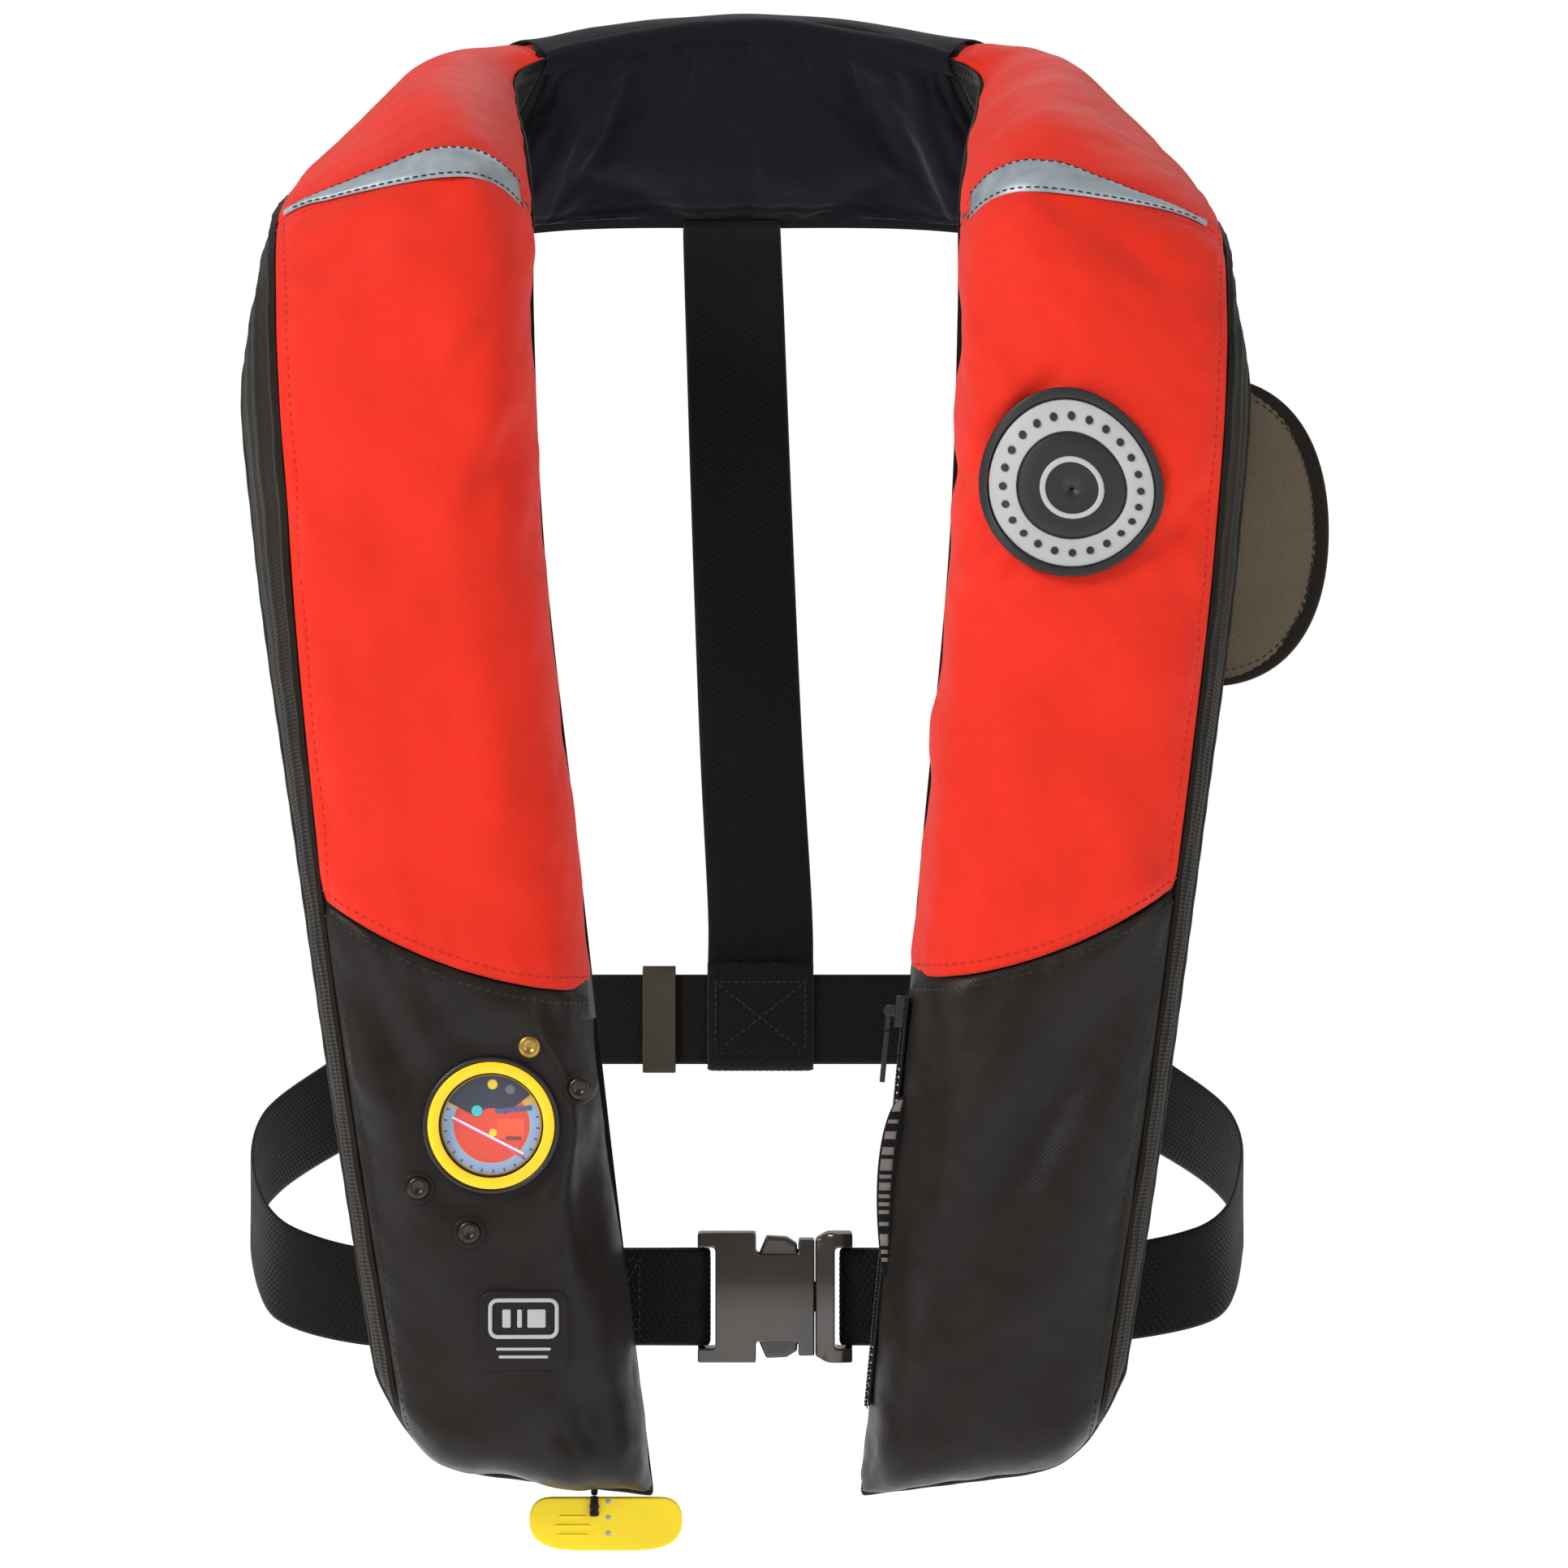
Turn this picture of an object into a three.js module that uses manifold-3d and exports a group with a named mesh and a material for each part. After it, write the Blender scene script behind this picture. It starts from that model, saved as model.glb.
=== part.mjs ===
// Inflatable life jacket, worn round the neck and buckled at the waist.
// Millimetres, +Z up. The wearer faces -Y, so the wearer's right is -X and the left is +X.
// Origin: centre of the collar pad's face, where the jacket rests on the nape.
import * as THREE from "three";
import { mergeVertices } from "three/addons/utils/BufferGeometryUtils.js";
import Module from "manifold-3d";

const wasm = await Module();
wasm.setup();

// ---- Driving dimensions ----------------------------------------------------------------

const gap = 0.3; // clearance between pieces that touch
const fabric = 1.8; // cover cloth with its lining
const panelThickness = 1.5; // wearer's side of the casing
const webbing = 38.1; // waist webbing, 1.5 inch
const webbingThickness = 2;

const neckHalf = 83; // half the opening between the lobes at the chest
const neckLean = { right: 47, left: 38 }; // how far the inner edges lean in at the bottom
const bandWidth = 112; // lobe width at the chest
const bottomWidth = { right: 100, left: 95 }; // lobe width at the bottom
const chestDepth = 142; // from the nape forward to the back of the lobes
const lobeTop = -85; // where the lobes leave the chest and turn over the shoulders
const lobeLength = 462; // from there down to the bottom corner
const lobeThickness = 45;
const shoulderThickness = 38;
const napeThickness = 26;
const napeWidth = 92; // collar band, neck edge to lower edge
const napeTilt = THREE.MathUtils.degToRad(30);
const padThickness = 8;

const beltFrontHeight = 75; // waist belt above the bottom of the lobes, at the front
const beltRise = 102; // and how much higher it runs at the back
const beltReach = 200; // half the width of the belt loop at the wearer's sides
const beltStandoff = 14; // belt centre behind the lobes
const backDepth = 46; // belt at the wearer's back, behind the origin

const windowRadius = 26.5;
const badgeRadius = 35.4;
const snapRadius = 4.4;
const flapHeight = 122;
const flapReach = 47;
const tapeWidth = 12.7; // reflective tape at the neck edge

const lobeBottom = lobeTop - lobeLength;
const panelFace = -chestDepth + panelThickness; // wearer's side of the lobes' back panels
const beltY = -chestDepth + beltStandoff;
const beltZ = lobeBottom + beltFrontHeight;
const backBeltZ = beltZ + beltRise;

// ---- Materials -------------------------------------------------------------------------

const material = (color, roughness, metalness = 0) =>
  new THREE.MeshStandardMaterial({ color, roughness, metalness });
const redFabric = material(0xe63c2d, 0.75);
const coatedFabric = material(0x26221e, 0.5);
const blackFabric = material(0x17161a, 0.85);
const neoprene = material(0x14151e, 0.8);
const trimFabric = material(0x2d2821, 0.8);
const reflective = material(0x969ea5, 0.4);
const badgeRubber = material(0x18181a, 0.5);
const flapFabric = material(0x5a5246, 0.8);
const webbingFabric = material(0x121110, 0.85);
const bucklePlastic = material(0x1d1815, 0.25);
const yellowPlastic = material(0xffd700, 0.45);
const blackPlastic = material(0x101010, 0.4);
const clearPlastic = material(0xdfe6ea, 0.08);
const bladderFabric = material(0xd8e020, 0.6);
const steel = material(0x9a9da0, 0.35, 1);
const brass = material(0xa58044, 0.4, 1);
const orangePlastic = material(0xe0592a, 0.5);

// ---- Geometry helpers ------------------------------------------------------------------

const group = new THREE.Group();
const vec = (x, y, z) => new THREE.Vector3(x, y, z);
const range = (n) => Array.from({ length: n }, (_, i) => i);
const lerp = THREE.MathUtils.lerp;
const sides = ["right", "left"];
const sign = { right: -1, left: 1 };

function add(name, geometry, meshMaterial, parent = group) {
  const mesh = new THREE.Mesh(geometry, meshMaterial);
  mesh.name = name;
  parent.add(mesh);
  return mesh;
}

function solid(geometry) {
  const bare = geometry.index ? geometry.toNonIndexed() : geometry.clone();
  for (const name of Object.keys(bare.attributes)) {
    if (name !== "position") bare.deleteAttribute(name);
  }
  const merged = mergeVertices(bare, 1e-4);
  return new wasm.Manifold(
    new wasm.Mesh({
      numProp: 3,
      vertProperties: merged.attributes.position.array,
      triVerts: new Uint32Array(merged.index.array),
    }),
  );
}

function geometryOf(body) {
  const { vertProperties, triVerts } = body.getMesh();
  return new THREE.BufferGeometry()
    .setAttribute("position", new THREE.BufferAttribute(vertProperties, 3))
    .setIndex(new THREE.BufferAttribute(triVerts, 1));
}

const cut = (geometry, ...tools) =>
  geometryOf(tools.reduce((body, tool) => body.subtract(solid(tool)), solid(geometry)));
const join = (first, ...others) =>
  geometryOf(others.reduce((body, other) => body.add(solid(other)), solid(first)));

// Six times the signed volume of a closed geometry.
function signedVolume(geometry) {
  const p = geometry.toNonIndexed().attributes.position;
  const [a, b, c] = [vec(0, 0, 0), vec(0, 0, 0), vec(0, 0, 0)];
  let sum = 0;
  for (let i = 0; i < p.count; i += 3) {
    a.fromBufferAttribute(p, i);
    b.fromBufferAttribute(p, i + 1);
    c.fromBufferAttribute(p, i + 2);
    sum += a.dot(b.cross(c));
  }
  return sum;
}

// A closed loft through sections that each run across a sheet and back: the first half of a
// section's points lies opposite the second half, so strips of quads close the two ends.
function loft(sections) {
  const size = sections[0].length;
  const last = (sections.length - 1) * size;
  const index = [];
  const quad = (a, b, c, d) => index.push(a, b, c, a, c, d);
  for (const row of range(sections.length - 1)) {
    const base = row * size;
    for (const i of range(size)) {
      const next = (i + 1) % size;
      quad(base + i, base + next, base + size + next, base + size + i);
    }
  }
  for (const i of range(size / 2 - 1)) {
    const [a, b, c, d] = [i, size - 1 - i, size - 2 - i, i + 1];
    quad(a, b, c, d);
    quad(last + d, last + c, last + b, last + a);
  }
  const made = new THREE.BufferGeometry().setFromPoints(sections.flat()).setIndex(index);
  if (signedVolume(made) < 0) made.setIndex(index.toReversed());
  return made;
}

// A closed plate over a grid: place(i, j, side) gives its points, side 0 below and 1 above.
function plate(columns, rows, place) {
  const across = range(columns + 1);
  return loft(
    range(rows + 1).map((j) => [
      ...across.map((i) => place(i / columns, j / rows, 1)),
      ...across.map((i) => place(1 - i / columns, j / rows, 0)),
    ]),
  );
}

const box = (x0, x1, y0, y1, z0, z1) =>
  new THREE.BoxGeometry(x1 - x0, y1 - y0, z1 - z0).translate(
    (x0 + x1) / 2,
    (y0 + y1) / 2,
    (z0 + z1) / 2,
  );

// A round bar along Y or Z, from its low end.
function rod(radius, length, axis, x, y, z, segments = 24) {
  const bar = new THREE.CylinderGeometry(radius, radius, length, segments);
  if (axis === "z") bar.rotateX(Math.PI / 2).translate(0, 0, length / 2);
  else bar.translate(0, length / 2, 0);
  return bar.translate(x, y, z);
}

// ---- The band --------------------------------------------------------------------------
// One band runs up each lobe, over the shoulder and round the nape. On each side it follows
// two edge curves through the same stations: 0 at the bottom of the lobe, 10 at the nape.
// A place on it is (side, station k, v), with v = 1 at the neck edge and -1 at the outer edge.

const lobeStations = [
  { drop: 1, lean: 1, widen: 0 },
  { drop: 0.735, lean: 0.68, widen: 0.4 },
  { drop: 0.455, lean: 0.37, widen: 0.75 },
  { drop: 0.195, lean: 0.085, widen: 1 },
];
// Over the shoulder: share of the chest depth, distance out and height of each edge.
const shoulderStations = [
  { neck: [1, 0, lobeTop], outer: [1, 0, lobeTop - 22] },
  { neck: [0.9, 1, -42], outer: [0.88, -9, -88] },
  { neck: [0.67, 5, -14], outer: [0.63, -19, -72] },
  { neck: [0.36, 11, 9], outer: [0.3, -28, -62] },
  { neck: [0.18, 10, 25], outer: [-0.05, -50, -50] },
  { neck: [0.12, -23, 37], outer: [-0.19, -107, -37] },
];
const napeStation = lobeStations.length + shoulderStations.length;
const shoulderStart = lobeStations.length;

const napeNormal = vec(0, Math.cos(napeTilt), Math.sin(napeTilt));
const napeAcross = vec(0, -Math.sin(napeTilt), Math.cos(napeTilt));
const napeMiddle = napeNormal.clone().multiplyScalar(padThickness + panelThickness + 2 * gap);

function edgePoints(side) {
  const s = sign[side];
  const neck = [];
  const outer = [];
  for (const { drop, lean, widen } of lobeStations) {
    const x = neckHalf - neckLean[side] * lean;
    const z = lobeTop - lobeLength * drop;
    neck.push(vec(s * x, -chestDepth, z));
    outer.push(vec(s * (x + lerp(bottomWidth[side], bandWidth, widen)), -chestDepth, z));
  }
  for (const at of shoulderStations) {
    const place = ([depth, out, z], from) => vec(s * (from + out), -chestDepth * depth, z);
    neck.push(place(at.neck, neckHalf));
    outer.push(place(at.outer, neckHalf + bandWidth));
  }
  const beyond = [neck.at(-1), outer.at(-1)].map((p) => vec(-p.x, p.y, p.z));
  neck.push(napeMiddle.clone().addScaledVector(napeAcross, napeWidth / 2), beyond[0]);
  outer.push(napeMiddle.clone().addScaledVector(napeAcross, -napeWidth / 2), beyond[1]);
  return { neck, outer };
}

const edges = Object.fromEntries(
  sides.map((side) => {
    const { neck, outer } = edgePoints(side);
    const curve = (points) => new THREE.CatmullRomCurve3(points, false, "centripetal");
    return [side, { neck: curve(neck), outer: curve(outer), last: neck.length - 1 }];
  }),
);

function frameAt(side, k) {
  const { neck, outer, last } = edges[side];
  const step = 0.02;
  const clamp = (value) => THREE.MathUtils.clamp(value / last, 0, 1);
  const middle = (value) =>
    neck.getPoint(clamp(value)).add(outer.getPoint(clamp(value))).multiplyScalar(0.5);
  const across = neck.getPoint(clamp(k)).sub(outer.getPoint(clamp(k)));
  const half = across.length() / 2;
  across.normalize();
  const along = middle(k + step).sub(middle(k - step)).normalize();
  const normal = across.clone().cross(along).multiplyScalar(-sign[side]).normalize();
  return { middle: middle(k), across, normal, half };
}

// A point of the band's flat wearer's side, raised along its outward normal.
function onBand(side, k, v, raise, inset = 0) {
  const { middle, across, normal, half } = frameAt(side, k);
  return middle.addScaledVector(across, (half - inset) * v).addScaledVector(normal, raise);
}

// Station where the middle of the band passes a height on the lobe.
function stationAt(side, z) {
  let [low, high] = [0, shoulderStart + 1];
  for (const _ of range(30)) {
    const k = (low + high) / 2;
    if (frameAt(side, k).middle.z < z) low = k;
    else high = k;
  }
  return (low + high) / 2;
}

const stationLength = lobeLength * (lobeStations[0].drop - lobeStations[1].drop);
const sewn = gap / 45; // clearance along the band, in stations, where two pieces meet

// The bottom of a lobe slopes up from the neck edge to a rounded outer corner.
const bottomSlope = 12;
const cornerRise = 35;
const bottomTaper = 24; // length over which the lobe thins to its bottom edge
const bottomOpen = 0.3; // share of the thickness that is left there
const bottomStation = (v) =>
  ((bottomSlope * (1 - v)) / 2 + cornerRise * Math.max(0, -v) ** 5) / stationLength;

// The cover stands flat where the window's bezel is clamped to it.
const windowPlace = { x: -97.4, z: lobeBottom + 146 };
const windowHeight = lobeThickness - 2;
const easeWidth = 14;

function thicknessAt(k) {
  const rise = THREE.MathUtils.smoothstep(k, shoulderStart, napeStation - 2.5);
  const nape = THREE.MathUtils.smoothstep(k, napeStation - 3, napeStation - 0.5);
  return lerp(lerp(lobeThickness, shoulderThickness, rise), napeThickness, nape);
}

const roundness = (v) => (1 - Math.abs(v) ** 4) ** (1 / 2.2);

function heightAt(side, k, v) {
  const fromBottom = (k - bottomStation(v)) * stationLength;
  const share = THREE.MathUtils.clamp(fromBottom / bottomTaper, 0, 1);
  const thin = lerp(bottomOpen, 1, (1 - (1 - share) ** 3) ** (1 / 2.2));
  const plain = thicknessAt(k) * roundness(v) * thin;
  if (side === "left" || k > shoulderStart) return plain;
  const at = onBand(side, k, v, 0);
  const away = Math.hypot(at.x - windowPlace.x, at.z - windowPlace.z) - windowRadius;
  return lerp(windowHeight, plain, THREE.MathUtils.smoothstep(away, 3, 3 + easeWidth));
}

// A point of the covers' outer face, or below it by inset, or above it by lift.
function onCover(side, k, v, inset = 0, lift = 0) {
  const height = heightAt(side, k, v);
  const share = 1 - inset / thicknessAt(k);
  return onBand(side, k, v, height * share + gap + lift, inset);
}

// Values from one to the other, closer together near both ends.
const spread = (from, to, n) =>
  range(n + 1).map((i) => lerp(from, to, (1 - Math.cos((Math.PI * i) / n)) / 2));

// A shell of the cover between two v, along stations that may differ across the band.
// Each row is {side, station(v)}, from one end of the shell to the other.
function coverShell(rows, vFrom, vTo, columns = 8) {
  return loft(
    rows.map(({ side, station }) => {
      const from = typeof vFrom === "function" ? vFrom(side, station(-1)) : vFrom;
      const to = typeof vTo === "function" ? vTo(side, station(-1)) : vTo;
      const values = spread(from, to, columns);
      return [
        ...values.map((v) => onCover(side, station(v), v)),
        ...values.toReversed().map((v) => onCover(side, station(v), v, fabric)),
      ];
    }),
  );
}

// Rows on one side, between two edges given as functions of v.
const rowsBetween = (side, start, end, n, ease = (t) => t) =>
  range(n + 1).map((i) => ({
    side,
    station: (v) => lerp(start(v), end(v), ease(i / n)),
  }));

// ---- Covers ----------------------------------------------------------------------------

const seamHeight = { right: lobeBottom + 197, left: lobeBottom + 202 }; // at the neck edge
const seamRise = 40;
const seamStation = (side) => {
  const start = stationAt(side, seamHeight[side]);
  return (v) => start + (seamRise * ((1 - v) / 2) ** 2) / (lobeLength * 0.28);
};
// The tape follows the seam between the chest and the shoulder covers.
const tapeStart = { right: 4.88, left: 4.76 };
const tapeStation = (side) => (v) => tapeStart[side] + 0.2 * ((1 - v) / 1.5) ** 2;
const yokeStation = napeStation - 1.6; // where the shoulder covers meet the nape cover

// The trim covers the outer side wall of the lobe. It is widest at the chest.
const trimWidth = { right: [8, 16], left: [8, 10] };
function trimEdge(side, k) {
  const [low, high] = trimWidth[side];
  const wide = lerp(low, high, THREE.MathUtils.smoothstep(k, 1.6, 3.4));
  return -1 + wide / frameAt(side, k).half;
}
const coverEdge = (side, k) => trimEdge(side, k) + gap / 50;

function makeCovers(side) {
  const seam = seamStation(side);
  const tape = tapeStation(side);
  const after = (edge) => (v) => edge(v) + sewn;
  const bottomEase = (t) => t ** 1.6;
  const lower = rowsBetween(side, bottomStation, seam, 12, bottomEase);
  const chest = rowsBetween(side, after(seam), tape, 14);
  const shoulder = rowsBetween(side, after(tape), () => yokeStation, 12);
  add(`${side}_chest_cover`, coverShell(chest, coverEdge, 1), redFabric);
  add(`${side}_shoulder_cover`, coverShell(shoulder, coverEdge, 1), redFabric);
  return coverShell(lower, coverEdge, 1, 10);
}

function makeTrim(side) {
  const start = () => bottomStation(-1) + 0.02;
  const rows = rowsBetween(side, start, () => yokeStation, 22);
  add(`${side}_edge_trim`, coverShell(rows, -1, trimEdge, 4), trimFabric);
}

const bothSides = (k, n) => [
  ...range(n + 1).map((i) => ({ side: "right", station: () => lerp(k, napeStation, i / n) })),
  ...range(n).map((i) => ({ side: "left", station: () => lerp(napeStation, k, (i + 1) / n) })),
];

// A flat sheet on the wearer's side of the band, between two levels along its normal.
function bandSheet(rows, vEnd, low, high, columns = 6) {
  return loft(
    rows.map(({ side, station }) => {
      const values = spread(-vEnd, vEnd, columns);
      return [
        ...values.map((v) => onBand(side, station(v), v, high)),
        ...values.toReversed().map((v) => onBand(side, station(v), v, low)),
      ];
    }),
  );
}

function makePanels() {
  for (const side of sides) {
    const rows = rowsBetween(side, bottomStation, () => yokeStation, 20);
    add(`${side}_back_panel`, bandSheet(rows, 1, -panelThickness, -gap), blackFabric);
  }
  const yoke = bothSides(yokeStation + sewn, 6);
  add("yoke_panel", bandSheet(yoke, 1, -panelThickness, -gap), blackFabric);
  add("nape_cover", coverShell(yoke, -1, 1), redFabric);
}

const padReach = 0.9; // share of the band that the collar pad covers

// The collar pad is crowned across the band, and thins to its sewn edges.
function makeCollarPad() {
  const reach = padReach;
  const under = -panelThickness - gap;
  const crown = (v, t) => (1 - Math.abs(v / reach) ** 4) ** 0.5 * (1 - Math.abs(t) ** 6) ** 0.5;
  const rows = bothSides(yokeStation + 0.1, 7);
  const sections = rows.map(({ side, station }, j) => {
    const t = (2 * j) / (rows.length - 1) - 1;
    const values = spread(-reach, reach, 8);
    const face = (v) => under - gap - 2 - (padThickness - gap - 2) * crown(v, t);
    return [
      ...values.map((v) => onBand(side, station(v), v, under)),
      ...values.toReversed().map((v) => onBand(side, station(v), v, face(v))),
    ];
  });
  add("collar_pad", loft(sections), neoprene);
}

// ---- Pieces sewn to the covers ---------------------------------------------------------

const standoff = 0.9; // patches stand this far off, because the covers are faceted
const tapeStandoff = 1.45; // more over the bend of the shoulder

function makeReflectiveTape(side) {
  const width = (t) => lerp(2, tapeWidth, THREE.MathUtils.smoothstep(t, 0, 0.8)) / 45;
  const [vOuter, vNeck] = [-0.5, 0.92];
  const tape = plate(10, 2, (i, j, top) => {
    const v = lerp(vOuter, vNeck, i);
    const k = tapeStation(side)(v) + (j - 0.5) * width(i);
    return onCover(side, k, v, 0, tapeStandoff + 0.6 * top);
  });
  add(`${side}_reflective_tape`, tape, reflective);
}

// A patch that follows the cover: outline(a, b) maps a square grid to millimetres.
function patch(side, x, z, cells, thickness, outline) {
  const start = stationAt(side, z);
  const { middle, half, across } = frameAt(side, start);
  const v0 = (x - middle.x) / (half * across.x);
  return plate(cells, cells, (i, j, top) => {
    const [px, pz] = outline(2 * i - 1, 2 * j - 1);
    const k = stationAt(side, z + pz);
    return onCover(side, k, v0 + px / (half * across.x), 0, standoff + thickness * top);
  });
}

const disc = (radius) => (a, b) => [
  radius * a * Math.sqrt(1 - (b * b) / 2),
  radius * b * Math.sqrt(1 - (a * a) / 2),
];
const rectangle = (width, height) => (a, b) => [(width / 2) * a, (height / 2) * b];

function makePatches() {
  const badge = patch("left", 125.5, lobeTop - 70, 8, 1.2, disc(badgeRadius));
  add("badge_patch", badge, badgeRubber);
  const label = patch("right", -84.9, lobeBottom + 67.5, 4, 0.5, rectangle(34, 30));
  add("label_patch", label, blackPlastic);
}

// ---- Side flap -------------------------------------------------------------------------

const flapX = neckHalf + bandWidth - 13; // hinge line behind the left lobe's outer edge
const flapZ = lobeTop - 86;
const flapThickness = 2.2;
const bindingWidth = 7.5;

// A D-shaped outline, its straight edge on the hinge line, inset from the full size.
function flapOutline(inset) {
  const [reach, half] = [flapReach - inset, flapHeight / 2 - inset];
  const curve = new THREE.CurvePath();
  const at = (x, z) => new THREE.Vector2(x, z);
  const [top, nose, bottom] = [at(0, half), at(reach, 0), at(0, -half)];
  curve.add(new THREE.CubicBezierCurve(top, at(reach * 0.66, half), at(reach, half * 0.6), nose));
  curve.add(
    new THREE.CubicBezierCurve(nose, at(reach, -half * 0.6), at(reach * 0.66, -half), bottom),
  );
  return curve.getSpacedPoints(24);
}

// A flat outline in the XZ plane, as thick as given towards +Y.
function flatPiece(points, thickness, x, y, z) {
  const flat = new THREE.ExtrudeGeometry(new THREE.Shape(points), {
    depth: thickness,
    bevelEnabled: false,
  });
  return flat.rotateX(Math.PI / 2).translate(x, y + thickness, z);
}

function makeSideFlap() {
  const y = panelFace + gap;
  const field = flapOutline(bindingWidth + gap);
  add("side_flap", flatPiece(field, flapThickness, flapX, y, flapZ), flapFabric);
  const rim = [...flapOutline(0), ...flapOutline(bindingWidth).reverse()];
  add("side_flap_binding", flatPiece(rim, flapThickness + 1, flapX, y, flapZ), trimFabric);
}

// ---- Window, snaps and inflator --------------------------------------------------------

const windowFace = -chestDepth - gap - windowHeight; // plane of the cover at the window
const ringRadius = 24.4;
const viewRadius = 20;
const bezelThickness = 3;
const hubWall = 2;
const backingThickness = 1.5;
const snapPlaces = [
  { x: -82.8, z: lobeBottom + 176 },
  { x: -63.6, z: lobeBottom + 160 },
  { x: -125.4, z: lobeBottom + 122 },
  { x: -105.8, z: lobeBottom + 105 },
];

function makeWindow() {
  const { x, z } = windowPlace;
  const disk = (radius, length, y) => rod(radius, length, "y", x, y, z, 32);
  const hubLength = bezelThickness + fabric + 2 * gap + backingThickness;
  const front = windowFace - gap - bezelThickness;
  const hubRadius = viewRadius + hubWall;
  const bezel = cut(
    join(disk(windowRadius, bezelThickness, front), disk(hubRadius, hubLength, front)),
    disk(viewRadius, hubLength + 2, front - 1),
    disk(ringRadius + gap, 1 + gap + 1, front - 1),
  );
  add("window_bezel", bezel, blackPlastic);
  const ring = cut(disk(ringRadius, 1, front), disk(viewRadius, 3, front - 1));
  add("window_ring", ring, yellowPlastic);
  const lensY = front + 1.6;
  add("window_lens", disk(viewRadius - gap, 1.2, lensY), clearPlastic);
  const backing = cut(
    disk(windowRadius, backingThickness, windowFace + fabric + gap),
    disk(hubRadius + gap, 5, windowFace),
  );
  add("window_backing_ring", backing, blackPlastic);
  const dialY = lensY + 1.2 + 2;
  add("status_dial", disk(viewRadius - 2 * gap, 1.2, dialY), orangePlastic);
  return { dialBack: dialY + 1.2, hubRadius };
}

// The right lower cover has the window's hole and seat, and the snaps' holes.
function pierceCover(cover, hubRadius) {
  const { x, z } = windowPlace;
  const hole = rod(hubRadius + gap, 40, "y", x, windowFace - 20, z, 32);
  const seat = rod(windowRadius + gap, 20, "y", x, windowFace - 20, z, 32);
  const inside = rod(windowRadius + gap, 8, "y", x, windowFace + fabric, z, 32);
  const snaps = snapPlaces.map((at) => rod(1.5 + gap, 60, "y", at.x, -chestDepth - 62, at.z, 16));
  return cut(cover, hole, seat, inside, ...snaps);
}

// The cover's outer face over a place on a lobe.
function coverFace(side, x, z) {
  const k = stationAt(side, z);
  const { middle, half, across } = frameAt(side, k);
  return -chestDepth - gap - heightAt(side, k, (x - middle.x) / (half * across.x));
}

function makeSnaps() {
  snapPlaces.forEach(({ x, z }, i) => {
    const around = [-1, 0, 1].map((step) => coverFace("right", x + step * snapRadius, z));
    const y = Math.min(...around);
    const cap = rod(snapRadius, 1.6, "y", x, y - 1.6 - standoff, z, 16);
    const post = rod(1.5, fabric + standoff + 3.5, "y", x, y - standoff - 0.2, z, 16);
    add(`cover_snap_${i + 1}`, join(cap, post), brass);
  });
}

const bladderHeight = { full: 24, atInflator: 8 };
const leverHub = 4;
const leverHalf = 2; // half the lever's thickness
const earThickness = 2;
const pinRadius = 1.6;
const cylinderRadius = 12.5;
const cylinderLength = 92;

// Share of the band that the bladder fills. It leaves room for the cord below the inflator.
const bladderReach = (side, k) =>
  side === "left" ? 0.78 : lerp(0.55, 0.78, THREE.MathUtils.smoothstep(k, 0.9, 1.6));

function makeBladder() {
  const lobeRows = range(6).map((i) => lerp(0.45, shoulderStart - 0.8, i / 6));
  const bendRows = range(22).map((i) => lerp(shoulderStart - 0.8, napeStation, i / 22));
  const stations = [...lobeRows, ...bendRows];
  const rows = [
    ...stations.map((k) => ({ side: "right", k })),
    { side: "right", k: napeStation },
    ...stations.toReversed().map((k) => ({ side: "left", k })),
  ];
  const sections = rows.map(({ side, k }) => {
    const lower = side === "right" ? bladderHeight.atInflator : bladderHeight.full;
    const up = THREE.MathUtils.smoothstep(k, 1.7, 2.3);
    const nape = THREE.MathUtils.smoothstep(k, 6, napeStation - 1);
    const height = lerp(lerp(lower, bladderHeight.full, up), 14, nape);
    const reach = bladderReach(side, k);
    const values = spread(-reach, reach, 4);
    const top = (v) => 2 + (height - 2) * roundness(v / reach / 1.02);
    return [
      ...values.map((v) => onBand(side, k, v, top(v))),
      ...values.toReversed().map((v) => onBand(side, k, v, 3 * gap)),
    ];
  });
  add("inflation_bladder", loft(sections), bladderFabric);
}

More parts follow.
